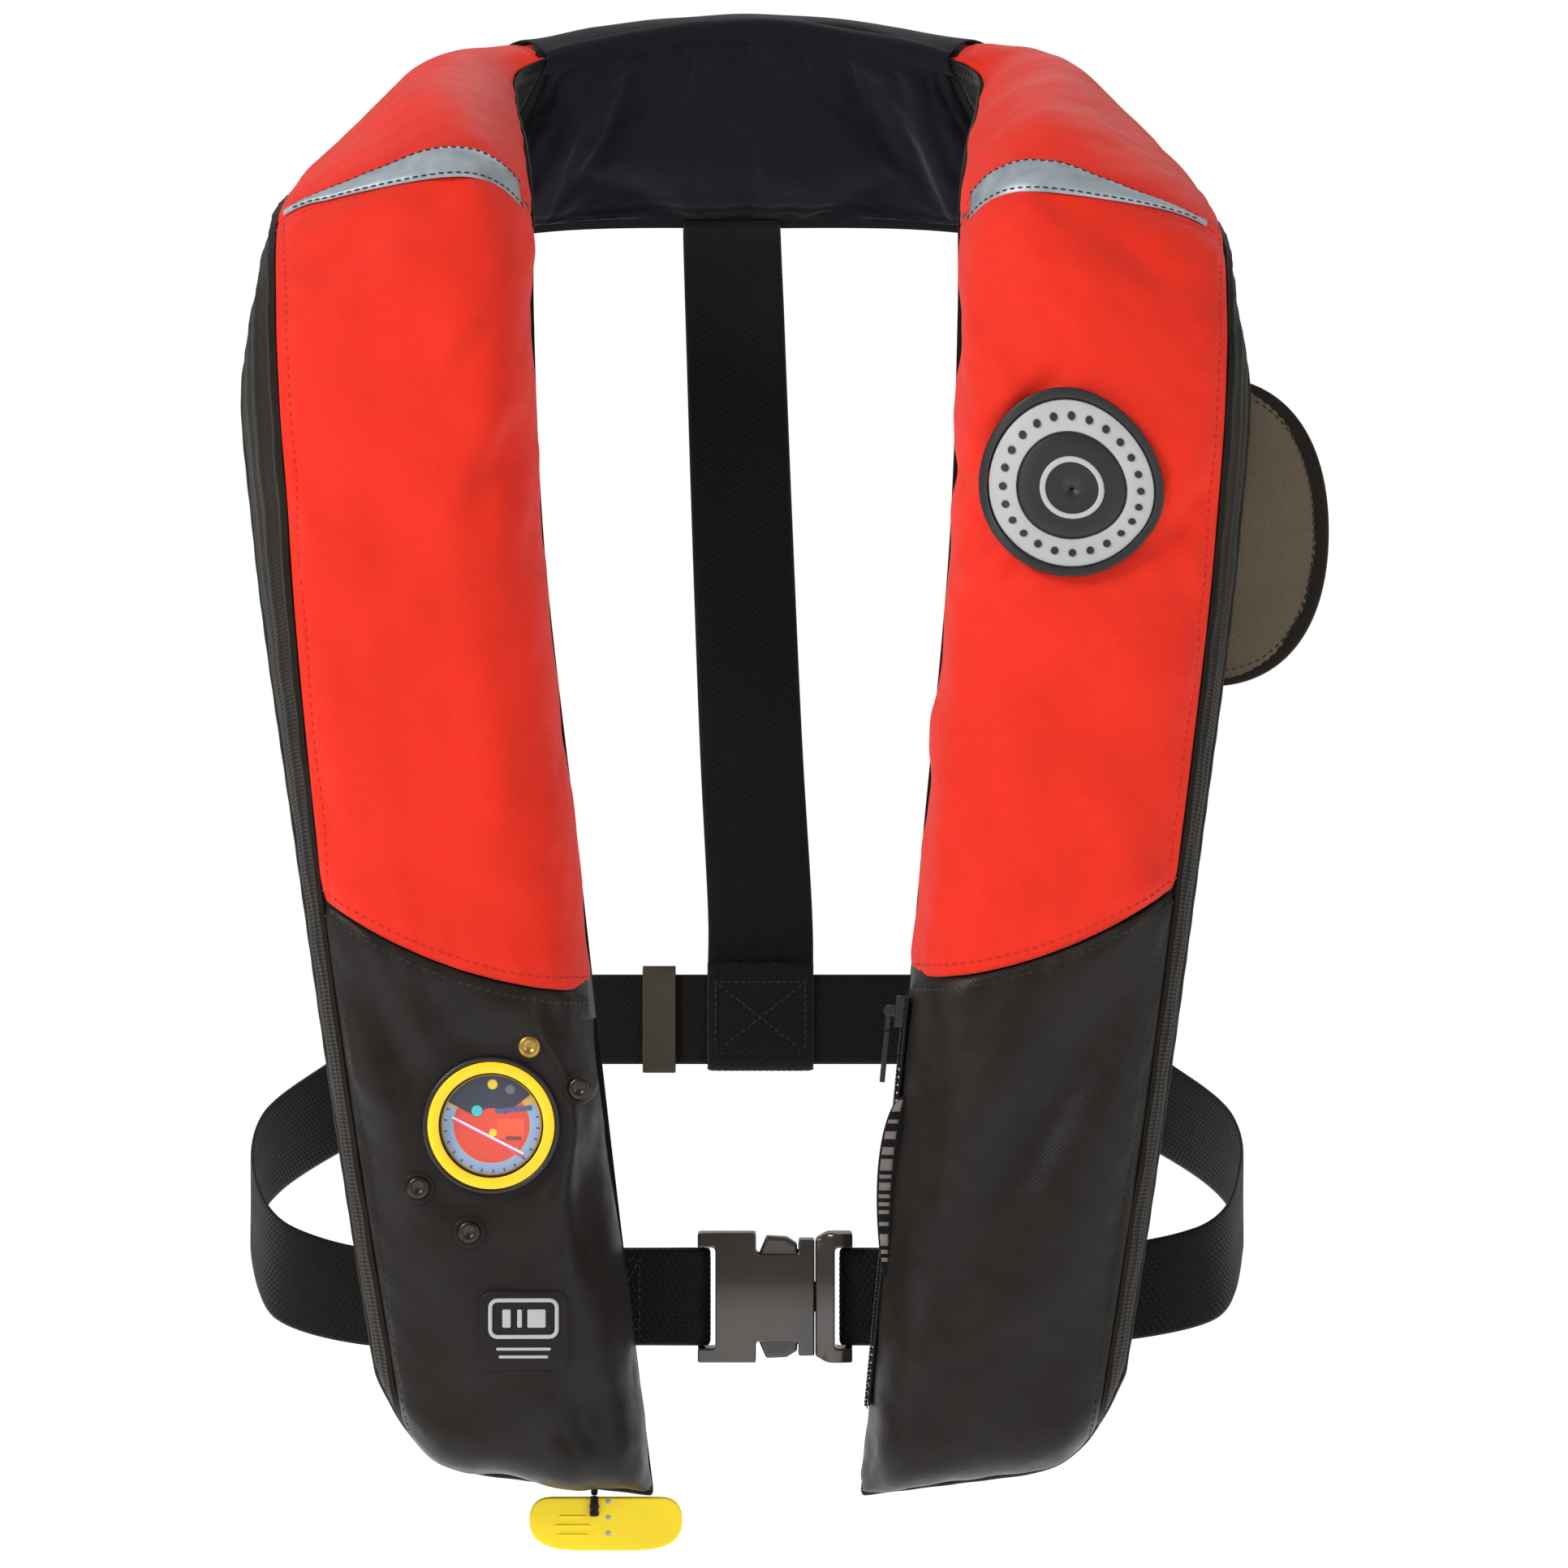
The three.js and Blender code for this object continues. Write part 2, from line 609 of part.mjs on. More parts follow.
function makeInflator(dialBack) {
  const { x, z } = windowPlace;
  const bladderFace = -chestDepth - bladderHeight.atInflator;
  const capDepth = 9;
  const capY = dialBack + gap;
  add("inflator_cap", rod(19, capDepth, "y", x, capY, z, 32), yellowPlastic);
  const bodyY = capY + capDepth + gap;
  const nutDepth = 2.5;
  const nutY = bladderFace - gap - nutDepth;
  const bodyDepth = nutY - gap - bodyY;
  const neckHalfWidth = 9;
  const neck = box(x - neckHalfWidth, x + neckHalfWidth, bodyY, bodyY + bodyDepth, z - 26, z);
  const leverY = bodyY + bodyDepth / 2;
  const leverZ = z - 20;
  const pivotX = x + neckHalfWidth + gap + leverHub;
  const earInside = leverHalf + gap;
  const ears = [leverY + earInside, leverY - earInside - earThickness].map((y0) =>
    box(x, pivotX + leverHub, y0, y0 + earThickness, leverZ - leverHub, leverZ + leverHub),
  );
  const body = cut(
    join(rod(17, bodyDepth, "y", x, bodyY, z, 32), neck, ...ears),
    rod(pinRadius + 0.1, 20, "y", pivotX, leverY - 10, leverZ, 20),
  );
  add("inflator_body", body, blackPlastic);
  add("manifold_nut", rod(10, nutDepth, "y", x, nutY, z, 6), brass);
  const top = z - 26 - gap;
  const shoulder = 14;
  const outline = [
    [0, 0],
    [9, 0],
    [cylinderRadius, 4],
    [cylinderRadius, cylinderLength - shoulder],
    [6, cylinderLength - 4],
    [6, cylinderLength],
    [0, cylinderLength],
  ].map(([r, h]) => new THREE.Vector2(r, h));
  const cylinder = new THREE.LatheGeometry(outline, 20)
    .rotateX(Math.PI / 2)
    .translate(x, leverY, top - cylinderLength);
  add("gas_cylinder", cylinder, steel);
  return { leverY, pivotX, leverZ };
}

// ---- Manual release: lever, pin, cord and handle ---------------------------------------

const leverReach = 30;
const cordRadius = 1.5;
const handleTravel = 55;
const handleWidth = 60;
const handleHeight = 21;
const handleThickness = 3;

function makeRelease({ leverY, pivotX, leverZ }) {
  const [front, back] = [leverY - leverHalf, leverY + leverHalf];
  const arm = join(
    rod(leverHub, 2 * leverHalf, "y", pivotX, front, leverZ, 20),
    box(pivotX, pivotX + leverReach - leverHub, front, back, leverZ - 2, leverZ + 2),
  );
  const bore = rod(pinRadius + 0.1, 8, "y", pivotX, leverY - 4, leverZ, 20);
  add("inflator_lever", cut(arm, bore), yellowPlastic);
  const pinLength = 2 * (leverHalf + gap + earThickness) + 0.8;
  const pin = rod(pinRadius, pinLength, "y", pivotX, leverY - pinLength / 2, leverZ, 20);
  add("lever_pin", pin, steel);
  const cordX = pivotX + leverReach - 7;
  const handleTop = lobeBottom - 1.5;
  const handleY = -chestDepth - gap - 5;
  // The cord turns towards the panel high up, so that it stays clear of the cover when pulled.
  const turnTop = leverZ - 8;
  const turnEnd = handleTop + bottomTaper + handleTravel + 6;
  const route = new THREE.CatmullRomCurve3([
    vec(cordX, leverY, leverZ - 2 - gap),
    vec(cordX, leverY, turnTop),
    vec(cordX + 1, lerp(leverY, handleY, 0.5), lerp(turnTop, turnEnd, 0.5)),
    vec(cordX + 2, handleY, turnEnd),
    vec(cordX + 2, handleY, turnEnd - 20),
    vec(cordX + 2, handleY, handleTop + gap),
  ]);
  const round = new THREE.Shape().absarc(0, 0, cordRadius, 0, 2 * Math.PI);
  const cord = new THREE.ExtrudeGeometry(round, {
    steps: 24,
    extrudePath: route,
    curveSegments: 4,
  });
  add("pull_cord", cord, blackFabric);
  const handle = new THREE.Shape();
  const [w, h, r] = [handleWidth / 2, handleHeight, 9];
  handle.moveTo(-w + r, 0).lineTo(w - r, 0).quadraticCurveTo(w, 0, w, -h * 0.45);
  handle.quadraticCurveTo(w, -h, w - 2 * r, -h).lineTo(-w + 2 * r, -h);
  handle.quadraticCurveTo(-w, -h, -w, -h * 0.45).quadraticCurveTo(-w, 0, -w + r, 0);
  const flat = new THREE.ExtrudeGeometry(handle, {
    depth: handleThickness,
    bevelEnabled: false,
    curveSegments: 6,
  });
  flat.rotateX(Math.PI / 2).translate(-54.6, handleY + handleThickness / 2, handleTop);
  add("pull_handle", flat, yellowPlastic);
}

// ---- Oral inflation tube and whistle ---------------------------------------------------

function makeOralTube() {
  const y = -chestDepth - bladderHeight.full - gap - 8.6;
  const [x, top, length] = [150, lobeTop - 60, 110];
  add("oral_tube", rod(6, length, "z", x, y, top - length, 20), blackPlastic);
  add("oral_valve_cap", rod(7, 12, "z", x, y, top + gap, 20), yellowPlastic);
  const whistleX = x - 26;
  const body = join(
    box(whistleX - 7, whistleX + 7, y - 4, y + 4, top - 90, top - 50),
    rod(7, 8, "y", whistleX, y - 4, top - 90, 20),
  );
  add("whistle", cut(body, box(whistleX - 4, whistleX + 4, y - 2, y + 2, top - 60, top - 40)),
    orangePlastic);
  const loopZ = top - 62;
  const lanyard = box(whistleX + 7 + gap, x - 6 - gap, y - 1, y + 1, loopZ - 1, loopZ + 1);
  add("whistle_lanyard", lanyard, blackFabric);
}

// ---- Straps ----------------------------------------------------------------------------

// Flat webbing along a route of points, standing on edge: its width is nearest to `up`.
function strap(points, width, up, steps, thickness = webbingThickness) {
  const route = new THREE.CatmullRomCurve3(points, false, "centripetal");
  const widthAt = typeof width === "function" ? width : () => width;
  return loft(
    range(steps + 1).map((i) => {
      const at = route.getPoint(i / steps);
      const along = route.getTangent(i / steps);
      const wide = up.clone().addScaledVector(along, -up.dot(along)).normalize();
      const thick = along.clone().cross(wide).multiplyScalar(thickness / 2);
      wide.multiplyScalar(widthAt(i / steps) / 2);
      return [
        [1, 1],
        [-1, 1],
        [-1, -1],
        [1, -1],
      ].map(([a, b]) => at.clone().addScaledVector(wide, a).addScaledVector(thick, b));
    }),
  );
}

const up = vec(0, 0, 1);
const femaleTurnX = -14.3; // where the right belt turns round the female half's bar
const maleTurnX = 37.4;
const turn = 2.6; // half the distance between the two layers of a turned strap
const slideOut = 36; // travel of the male half
const stubEnd = 128;
const leftBeltStart = 101;
const layer = webbingThickness + gap + 0.1;

// From the front strap behind the lobe, round the wearer's side, to the back.
function sideRoute(side) {
  const s = sign[side];
  return [
    vec(s * 150, beltY, beltZ),
    vec(s * (beltReach - 17), beltY + 9, beltZ + 9),
    vec(s * (beltReach - 1), beltY + 52, beltZ + 30),
    vec(s * (beltReach - 3), beltY + 98, beltZ + 49),
    vec(s * (beltReach - 30), backDepth - 26, beltZ + beltRise * 0.67),
    vec(s * (beltReach - 70), backDepth - 7, beltZ + beltRise * 0.88),
    vec(s * 95, backDepth, backBeltZ),
    vec(s * 84, backDepth, backBeltZ),
    vec(s * 60, backDepth, backBeltZ),
    vec(s * 30, backDepth, backBeltZ),
  ];
}

function makeBelts() {
  const tail = [
    vec(-62, beltY + turn, beltZ),
    vec(-40, beltY + turn, beltZ),
    vec(femaleTurnX - turn, beltY + turn, beltZ),
    vec(femaleTurnX, beltY, beltZ),
    vec(femaleTurnX - turn, beltY - turn, beltZ),
    vec(-40, beltY - turn, beltZ),
    vec(-100, beltY, beltZ),
  ];
  const joint = -gap / 2;
  const right = [...tail, ...sideRoute("right"), vec(joint, backDepth, backBeltZ)];
  add("waist_belt_right", strap(right, webbing, up, 64), webbingFabric);
  const left = [
    vec(leftBeltStart, beltY + layer / 2, beltZ),
    vec(leftBeltStart + 25, beltY + layer / 2, beltZ),
    vec(leftBeltStart + 33, beltY + layer / 2, beltZ),
    ...sideRoute("left").slice(1),
    vec(-joint, backDepth, backBeltZ),
  ];
  add("waist_belt_left", strap(left, webbing, up, 40), webbingFabric);
  const stub = [
    vec(maleTurnX + 26, beltY + turn, beltZ),
    vec(maleTurnX + 14, beltY + turn, beltZ),
    vec(maleTurnX + turn, beltY + turn, beltZ),
    vec(maleTurnX, beltY, beltZ),
    vec(maleTurnX + turn, beltY - turn, beltZ),
    vec(maleTurnX + 22, beltY - turn, beltZ),
    vec(stubEnd - 56, beltY - layer / 2, beltZ),
    vec(stubEnd - 48, beltY - layer / 2, beltZ),
    vec(stubEnd, beltY - layer / 2, beltZ),
  ];
  add("front_strap_left", strap(stub, webbing, up, 32), webbingFabric);
}

// The back strap hangs from the yoke and ends in a sewn loop that holds the waist belt.
const backStrapTop = 41;
const backStrapBottom = 45;
const backStrapShift = 5; // the foot of the strap is off centre by this much
const strapLoop = webbingThickness + gap + 0.2; // loop layers either side of the belt

function makeBackStrap() {
  const onYoke = (v) => onBand("right", napeStation, v, -panelThickness - gap - 1.1);
  const [start, edge] = [onYoke(-padReach - 0.02), onYoke(-1.04)];
  const shift = (p, x) => vec(x, p.y, p.z);
  const rear = backDepth + strapLoop;
  const front = backDepth - strapLoop;
  const foot = backBeltZ - webbing / 2 - strapLoop - gap;
  const x = backStrapShift;
  const route = [
    shift(start, -7),
    shift(edge, -7),
    vec(-6, lerp(edge.y, rear, 0.5), edge.z - 30),
    vec(-3, rear - 4, lerp(edge.z, backBeltZ, 0.35)),
    vec(1, rear, lerp(edge.z, backBeltZ, 0.65)),
    vec(x, rear, backBeltZ + 40),
    vec(x, rear, backBeltZ + 20),
    vec(x, rear, backBeltZ + 5),
    vec(x, rear, backBeltZ - 12),
    vec(x, rear, foot + strapLoop),
    vec(x, backDepth, foot),
    vec(x, front, foot + strapLoop),
    vec(x, front, backBeltZ),
    vec(x, front, backBeltZ + 24),
  ];
  const width = (t) => lerp(backStrapTop, backStrapBottom, THREE.MathUtils.smoothstep(t, 0, 0.5));
  add("back_strap", strap(route, width, vec(1, 0, 0), 48), webbingFabric);
}

// A slider frame round the back belt.
const sliderX = -38;
const sliderLength = 14;

function makeBeltSlider() {
  const room = 0.6;
  const half = webbing / 2 + room;
  const deep = webbingThickness / 2 + room;
  const wall = 3;
  const [x0, x1] = [sliderX - sliderLength / 2, sliderX + sliderLength / 2];
  const [y, z] = [backDepth, backBeltZ];
  const frame = cut(
    box(x0, x1, y - deep - wall + 1, y + deep + wall - 1, z - half - wall, z + half + wall),
    box(x0 - 1, x1 + 1, y - deep, y + deep, z - half, z + half),
  );
  add("belt_slider", frame, bucklePlastic);
}

// Webbing loops on the back panels that the front of the belt runs through.
const loopWidth = 30;

function makeBeltLoops() {
  const half = webbing / 2 + 1;
  const deep = beltY + turn + 1 - panelFace + 2;
  for (const [side, x] of [["right", -112], ["left", 116]]) {
    const y0 = panelFace + gap;
    const y1 = panelFace + deep + webbingThickness;
    const [x0, x1] = [x - loopWidth / 2, x + loopWidth / 2];
    const reach = half + webbingThickness;
    const loop = cut(
      box(x0, x1, y0, y1, beltZ - reach - 8, beltZ + reach + 8),
      box(x0 - 1, x1 + 1, y0 - 1, y1 - webbingThickness, beltZ - half, beltZ + half),
      box(x0 - 1, x1 + 1, y0 + 2, y1 + 1, beltZ + reach, beltZ + reach + 9),
      box(x0 - 1, x1 + 1, y0 + 2, y1 + 1, beltZ - reach - 9, beltZ - reach),
    );
    add(`${side}_belt_loop`, loop, webbingFabric);
  }
}

// ---- Side-release buckle ---------------------------------------------------------------

const buckle = { half: 25.5, depth: 8, mouth: 27, end: -19, maleEnd: 42 };
const barSlot = 4.6; // slots that the webbing passes through
const endBar = 2.4;
const barHalf = 1.2;

// A box in the buckle's own place: x along the belt, y through it, z up from its centre.
const buckleBox = (x0, x1, y, z0, z1) => box(x0, x1, beltY - y, beltY + y, beltZ + z0, beltZ + z1);

// What is cut from an end of the buckle to leave a thin bar that the webbing turns round.
function barRecess(outside, barEdge, slotEnd) {
  const slot = webbing / 2 + 0.8;
  const deep = buckle.depth + 1;
  const [x0, x1] = [Math.min(barEdge, slotEnd), Math.max(barEdge, slotEnd)];
  const [a, b] = [Math.min(outside, slotEnd), Math.max(outside, slotEnd)];
  const [low, high] = [beltZ - slot, beltZ + slot];
  return [
    buckleBox(x0, x1, deep, -slot, slot),
    box(a, b, beltY - deep, beltY - barHalf, low, high),
    box(a, b, beltY + barHalf, beltY + deep, low, high),
  ];
}

function makeBuckle() {
  const { half, depth, mouth, end, maleEnd } = buckle;
  const cavity = 19.5;
  const pocket = end + endBar + barSlot + 4;
  const female = cut(
    buckleBox(end, mouth, depth, -half, half),
    buckleBox(pocket, mouth + 1, depth - 3, -cavity, cavity),
    ...barRecess(end - 1, end + endBar, end + endBar + barSlot),
    buckleBox(4, 20.6, depth + 1, 17, half + 1),
    buckleBox(4, 20.6, depth + 1, -half - 1, -17),
  );
  add("buckle_female", female, bucklePlastic);
  const male = cut(
    join(
      buckleBox(mouth + gap, maleEnd, depth, -half, half),
      buckleBox(pocket + 2, mouth + 1, depth - 3.5, -5, 5),
    ),
    ...barRecess(maleEnd + 1, maleEnd - endBar, maleEnd - endBar - barSlot),
  );
  add("buckle_male", male, bucklePlastic);
  const arm = [
    [mouth, 12],
    [mouth, 17],
    [20.2, 18],
    [20.2, 21],
    [16, 23.6],
    [8, 24],
    [5, 17],
    [0, 14],
    [0, 11],
    [10, 10.4],
  ];
  for (const [name, s] of [["upper", 1], ["lower", -1]]) {
    const outline = arm.map(([x, z]) => new THREE.Vector2(x, s * z));
    const flat = new THREE.ExtrudeGeometry(new THREE.Shape(outline), {
      depth: 2 * (depth - 3.5),
      bevelEnabled: false,
    });
    flat.rotateX(Math.PI / 2).translate(0, beltY + depth - 3.5, beltZ);
    add(`buckle_arm_${name}`, flat, bucklePlastic);
  }
}

// ---- Zipper on the left lobe's neck edge -----------------------------------------------

const zipper = { length: 160, top: seamHeight.left - 8, tape: 12, coil: 4, slider: 12 };

// The side wall bulges back from the edge line, so the tape's back face sits just inside it.
const zipperSeat = -0.1;

function makeZipper() {
  const [top, bottom] = [zipper.top, zipper.top - zipper.length].map((z) =>
    onBand("left", stationAt("left", z), 1, 0),
  );
  const down = bottom.clone().sub(top).normalize();
  const place = new THREE.Group();
  // Inside the group: +Z up along the track, -X away from the lobe, -Y to the front.
  place.position.copy(top).add(vec(-zipperSeat, -11, 0));
  place.quaternion.setFromUnitVectors(vec(0, 0, -1), down);
  group.add(place);
  const { length, tape, coil, slider } = zipper;
  add("zipper_tape", box(-1, 0, -tape / 2, tape / 2, -length, 0), blackFabric, place);
  const coilFace = -1 - gap - 1.4;
  add("zipper_coil", box(coilFace, -1 - gap, -coil / 2, coil / 2, -length, 0), blackPlastic, place);
  const inner = coil / 2 + 0.5;
  const body = cut(
    box(coilFace - 2.2, -1 - gap, -inner - 1.5, inner + 1.5, -slider, 0),
    box(coilFace - 0.5, 1, -inner, inner, -slider - 1, 1),
  );
  const ears = [-1, 1].map((s) =>
    box(coilFace - 6, coilFace - 2, s * 2.4 - 0.7, s * 2.4 + 0.7, -8, -4),
  );
  const pinX = coilFace - 4.7;
  const pin = rod(0.8, 5, "y", pinX, -2.5, -6, 12);
  add("zipper_slider", join(body, ...ears, pin), blackPlastic, place);
  const pull = cut(
    join(
      rod(2.1, 3, "y", pinX, -1.5, -6, 16),
      box(pinX - 1, pinX + 1, -1.5, 1.5, -30, -6),
      box(pinX - 1, pinX + 1, -3, 3, -34, -14),
    ),
    rod(0.8 + 0.35, 8, "y", pinX, -4, -6, 16),
  );
  add("zipper_pull", pull, blackPlastic, place);
}

// ---- Assembly --------------------------------------------------------------------------

const lowerCovers = Object.fromEntries(sides.map((side) => [side, makeCovers(side)]));
sides.forEach(makeTrim);
sides.forEach(makeReflectiveTape);
makePanels();
makeCollarPad();
makePatches();
makeSideFlap();
const { dialBack, hubRadius } = makeWindow();
add("right_lower_cover", pierceCover(lowerCovers.right, hubRadius), coatedFabric);
add("left_lower_cover", lowerCovers.left, coatedFabric);
makeSnaps();
makeBladder();
makeRelease(makeInflator(dialBack));
makeOralTube();
makeBelts();
makeBackStrap();
makeBeltSlider();
makeBeltLoops();
makeBuckle();
makeZipper();

export default group;
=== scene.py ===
"""Looks of the inflatable life jacket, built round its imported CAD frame.

Lengths in this file are millimetres until mesh_object() makes them metres. The wearer faces -Y, so the
wearer's right is -X. The band's formulas repeat the CAD source's, so each piece lies where its node does.
"""
import math

import bmesh
import bpy
import numpy as np
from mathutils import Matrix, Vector


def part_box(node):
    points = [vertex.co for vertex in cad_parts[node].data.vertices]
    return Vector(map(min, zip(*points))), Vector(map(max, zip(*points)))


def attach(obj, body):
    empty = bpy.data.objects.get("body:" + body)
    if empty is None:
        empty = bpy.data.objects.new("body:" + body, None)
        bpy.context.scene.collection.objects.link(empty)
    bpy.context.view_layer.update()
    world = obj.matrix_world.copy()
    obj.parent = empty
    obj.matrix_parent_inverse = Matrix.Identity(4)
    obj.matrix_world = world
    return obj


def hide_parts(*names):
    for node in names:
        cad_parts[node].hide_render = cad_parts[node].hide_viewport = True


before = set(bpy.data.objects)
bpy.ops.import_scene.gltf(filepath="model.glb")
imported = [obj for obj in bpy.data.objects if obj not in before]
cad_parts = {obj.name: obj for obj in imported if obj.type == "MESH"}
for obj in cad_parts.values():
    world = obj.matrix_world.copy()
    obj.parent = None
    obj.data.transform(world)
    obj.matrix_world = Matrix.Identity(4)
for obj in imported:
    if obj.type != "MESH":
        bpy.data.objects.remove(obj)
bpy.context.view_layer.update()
MM = 0.001
JACKET = "jacket"


# ---- Camera, light and floor ---------------------------------------------------------------------

def make_camera():
    camera = bpy.data.objects.new("camera", bpy.data.cameras.new("camera"))
    bpy.context.scene.collection.objects.link(camera)
    camera.location = (0.015, -2.36, -0.27)
    camera.rotation_euler = (math.pi / 2, 0, 0)
    camera.data.lens = 130
    camera.data.sensor_width = 36
    bpy.context.scene.camera = camera


def area_light(name, place, aim, size, watts):
    light = bpy.data.objects.new(name, bpy.data.lights.new(name, "AREA"))
    bpy.context.scene.collection.objects.link(light)
    light.location = place
    light.rotation_euler = (Vector(aim) - Vector(place)).to_track_quat("-Z", "Y").to_euler()
    light.data.shape = "RECTANGLE"
    light.data.size, light.data.size_y = size
    light.data.energy = watts


SKY_LIGHT = 0.3


def make_stage():
    middle = (0, -0.1, -0.25)
    area_light("key", (-1.5, -1.25, 1.0), middle, (0.6, 0.9), 36)
    area_light("fill", (1.9, -1.7, 0.4), middle, (0.8, 1.4), 12)
    area_light("rim", (0.4, 1.7, 1.6), middle, (2.0, 1.0), 14)
    world = bpy.context.scene.world or bpy.data.worlds.new("world")
    bpy.context.scene.world = world
    world.use_nodes = True
    tree = world.node_tree
    backdrop = tree.nodes.new("ShaderNodeBackground")
    seen = tree.nodes.new("ShaderNodeLightPath")
    both = tree.nodes.new("ShaderNodeMixShader")
    tree.nodes["Background"].inputs["Color"].default_value = (1, 1, 1, 1)
    tree.nodes["Background"].inputs["Strength"].default_value = SKY_LIGHT
    tree.links.new(seen.outputs["Is Camera Ray"], both.inputs[0])
    tree.links.new(tree.nodes["Background"].outputs[0], both.inputs[1])
    tree.links.new(backdrop.outputs[0], both.inputs[2])
    backdrop.inputs["Color"].default_value = (1, 1, 1, 1)
    tree.links.new(both.outputs[0], tree.nodes["World Output"].inputs["Surface"])
    bpy.context.scene.view_settings.view_transform = "Standard"
    bpy.ops.mesh.primitive_circle_add(vertices=96, radius=30, fill_type="NGON", location=(0, 0, -0.75))
    floor = bpy.context.object
    floor.name = "floor"
    paint = plain("floor_paint", (0.95, 0.95, 0.95), 0.7)
    shader = paint.node_tree.nodes["Principled BSDF"]
    shader.inputs["Emission Color"].default_value = (1, 1, 1, 1)
    shader.inputs["Emission Strength"].default_value = 0.72
    floor.data.materials.append(paint)


# ---- Materials -----------------------------------------------------------------------------------

CLOTH_MAP = "cloth"  # the UV map, in metres, that weaves follow


class Nodes:
    """A new material's node tree, with short calls for the nodes used here."""

    def __init__(self, name):
        self.material = bpy.data.materials.new(name)
        self.material.use_nodes = True
        self.tree = self.material.node_tree
        self.shader = self.tree.nodes["Principled BSDF"]

    def add(self, kind, *links, **settings):
        node = self.tree.nodes.new(kind)
        for key, value in settings.items():
            if key.startswith("in_"):
                node.inputs[int(key[3:])].default_value = value
            else:
                setattr(node, key, value)
        for index, source in enumerate(links):
            if source is not None:
                self.tree.links.new(source, node.inputs[index])
        return node

    def math(self, operation, a, b=None, value=None):
        node = self.add("ShaderNodeMath", a, b, operation=operation)
        if value is not None:
            node.inputs[1].default_value = value
        return node.outputs[0]

    def place(self):
        return self.add("ShaderNodeTexCoord").outputs["Object"]

    def noise(self, size_mm, detail=3.0, rough=0.55):
        node = self.add("ShaderNodeTexNoise", self.place())
        node.inputs["Scale"].default_value = 1 / (size_mm * MM)
        node.inputs["Detail"].default_value = detail
        node.inputs["Roughness"].default_value = rough
        return node.outputs["Fac"]

    def ramp(self, factor, low, high, to_low=0.0, to_high=1.0):
        node = self.add("ShaderNodeMapRange", factor)
        for index, value in zip((1, 2, 3, 4), (low, high, to_low, to_high)):
            node.inputs[index].default_value = value
        return node.outputs[0]

    def mix(self, factor, a, b):
        """A colour between a and b, each a colour or another node's output."""
        node = self.add("ShaderNodeMix", data_type="RGBA")
        self.tree.links.new(factor, node.inputs["Factor"])
        for socket, value in ((node.inputs[6], a), (node.inputs[7], b)):
            if isinstance(value, bpy.types.NodeSocket):
                self.tree.links.new(value, socket)
            else:
                socket.default_value = (*value, 1)
        return node.outputs[2]

    def weave(self, across_mm, along_mm, slant=0.0):
        """Height of a plain weave that follows the cloth map, from 0 to 1."""
        uv = self.add("ShaderNodeUVMap", uv_map=CLOTH_MAP).outputs[0]
        xyz = self.add("ShaderNodeSeparateXYZ", uv)
        u = self.math("MULTIPLY", xyz.outputs[0], value=1 / (across_mm * MM))
        v = self.math("MULTIPLY", xyz.outputs[1], value=1 / (along_mm * MM))
        if slant:
            v = self.math("ADD", v, self.math("MULTIPLY", self.math("PINGPONG", u, value=3.0), value=slant))
        threads = [self.math("ABSOLUTE", self.math("SINE", self.math("MULTIPLY", t, value=math.pi)))
                   for t in (u, v)]
        cells = self.add("ShaderNodeCombineXYZ", u, v).outputs[0]
        over = self.add("ShaderNodeTexChecker", cells)
        over.inputs["Scale"].default_value = 1
        height = self.add("ShaderNodeMix", over.outputs["Fac"], data_type="FLOAT")
        self.tree.links.new(threads[0], height.inputs[2])
        self.tree.links.new(threads[1], height.inputs[3])
        return height.outputs[0]

    def bump(self, height, distance_mm, strength=1.0, under=None):
        node = self.add("ShaderNodeBump")
        node.inputs["Strength"].default_value = strength
        node.inputs["Distance"].default_value = distance_mm * MM
        self.tree.links.new(height, node.inputs["Height"])
        if under is not None:
            self.tree.links.new(under, node.inputs["Normal"])
        return node.outputs[0]

    def finish(self, colour=None, roughness=None, normal=None, **values):
        for socket, source in (("Base Color", colour), ("Roughness", roughness), ("Normal", normal)):
            if isinstance(source, bpy.types.NodeSocket):
                self.tree.links.new(source, self.shader.inputs[socket])
            elif source is not None:
                value = (*source, 1) if socket == "Base Color" else source
                self.shader.inputs[socket].default_value = value
        for socket, value in values.items():
            self.shader.inputs[socket.replace("_", " ")].default_value = value
        return self.material


def linear(red, green, blue):
    """A colour given as 0-255 display values, as the shader wants it."""
    return tuple((c / 255 / 12.92) if c <= 10 else ((c / 255 + 0.055) / 1.055) ** 2.4
                 for c in (red, green, blue))


def shade(colour, factor):
    return tuple(min(1.0, c * factor) for c in colour)


def plain(name, colour, roughness):
    return Nodes(name).finish(colour, roughness)


def cloth(name, colour, weave=(0.9, 0.9), depth=0.12, roughness=0.75, sheen=0.25, worn=0.16, slant=0.0):
    """Woven cloth: threads with painted shade in the gaps between them, uneven dye, soil in large soft
    patches and a little sheen.
    """
    n = Nodes(name)
    patches = n.ramp(n.noise(60, 3), 0.3, 0.7)
    fine = n.ramp(n.noise(2.2, 4, 0.7), 0.25, 0.75)
    threads = n.weave(*weave, slant)
    base = n.mix(patches, shade(colour, 1 - worn), shade(colour, 1 + worn * 0.6))
    flecked = n.mix(n.math("MULTIPLY", fine, value=0.3), base, shade(colour, 1 - 1.6 * worn))
    # Painted shade: the colour is darkened towards 45% where the thread height is low, in the gaps between
    # the threads.
    thread_gap_shade = n.math("MULTIPLY", n.math("SUBTRACT", threads, value=1.0), value=-0.3)
    woven = n.mix(thread_gap_shade, flecked, shade(colour, 0.45))
    under = n.bump(n.noise(9, 3), 0.35, 0.5)
    normal = n.bump(threads, depth, 0.8, under)
    return n.finish(woven, n.ramp(fine, 0, 1, roughness - 0.07, min(1.0, roughness + 0.1)), normal,
                    Sheen_Weight=sheen, Sheen_Roughness=0.45, Specular_IOR_Level=0.12)


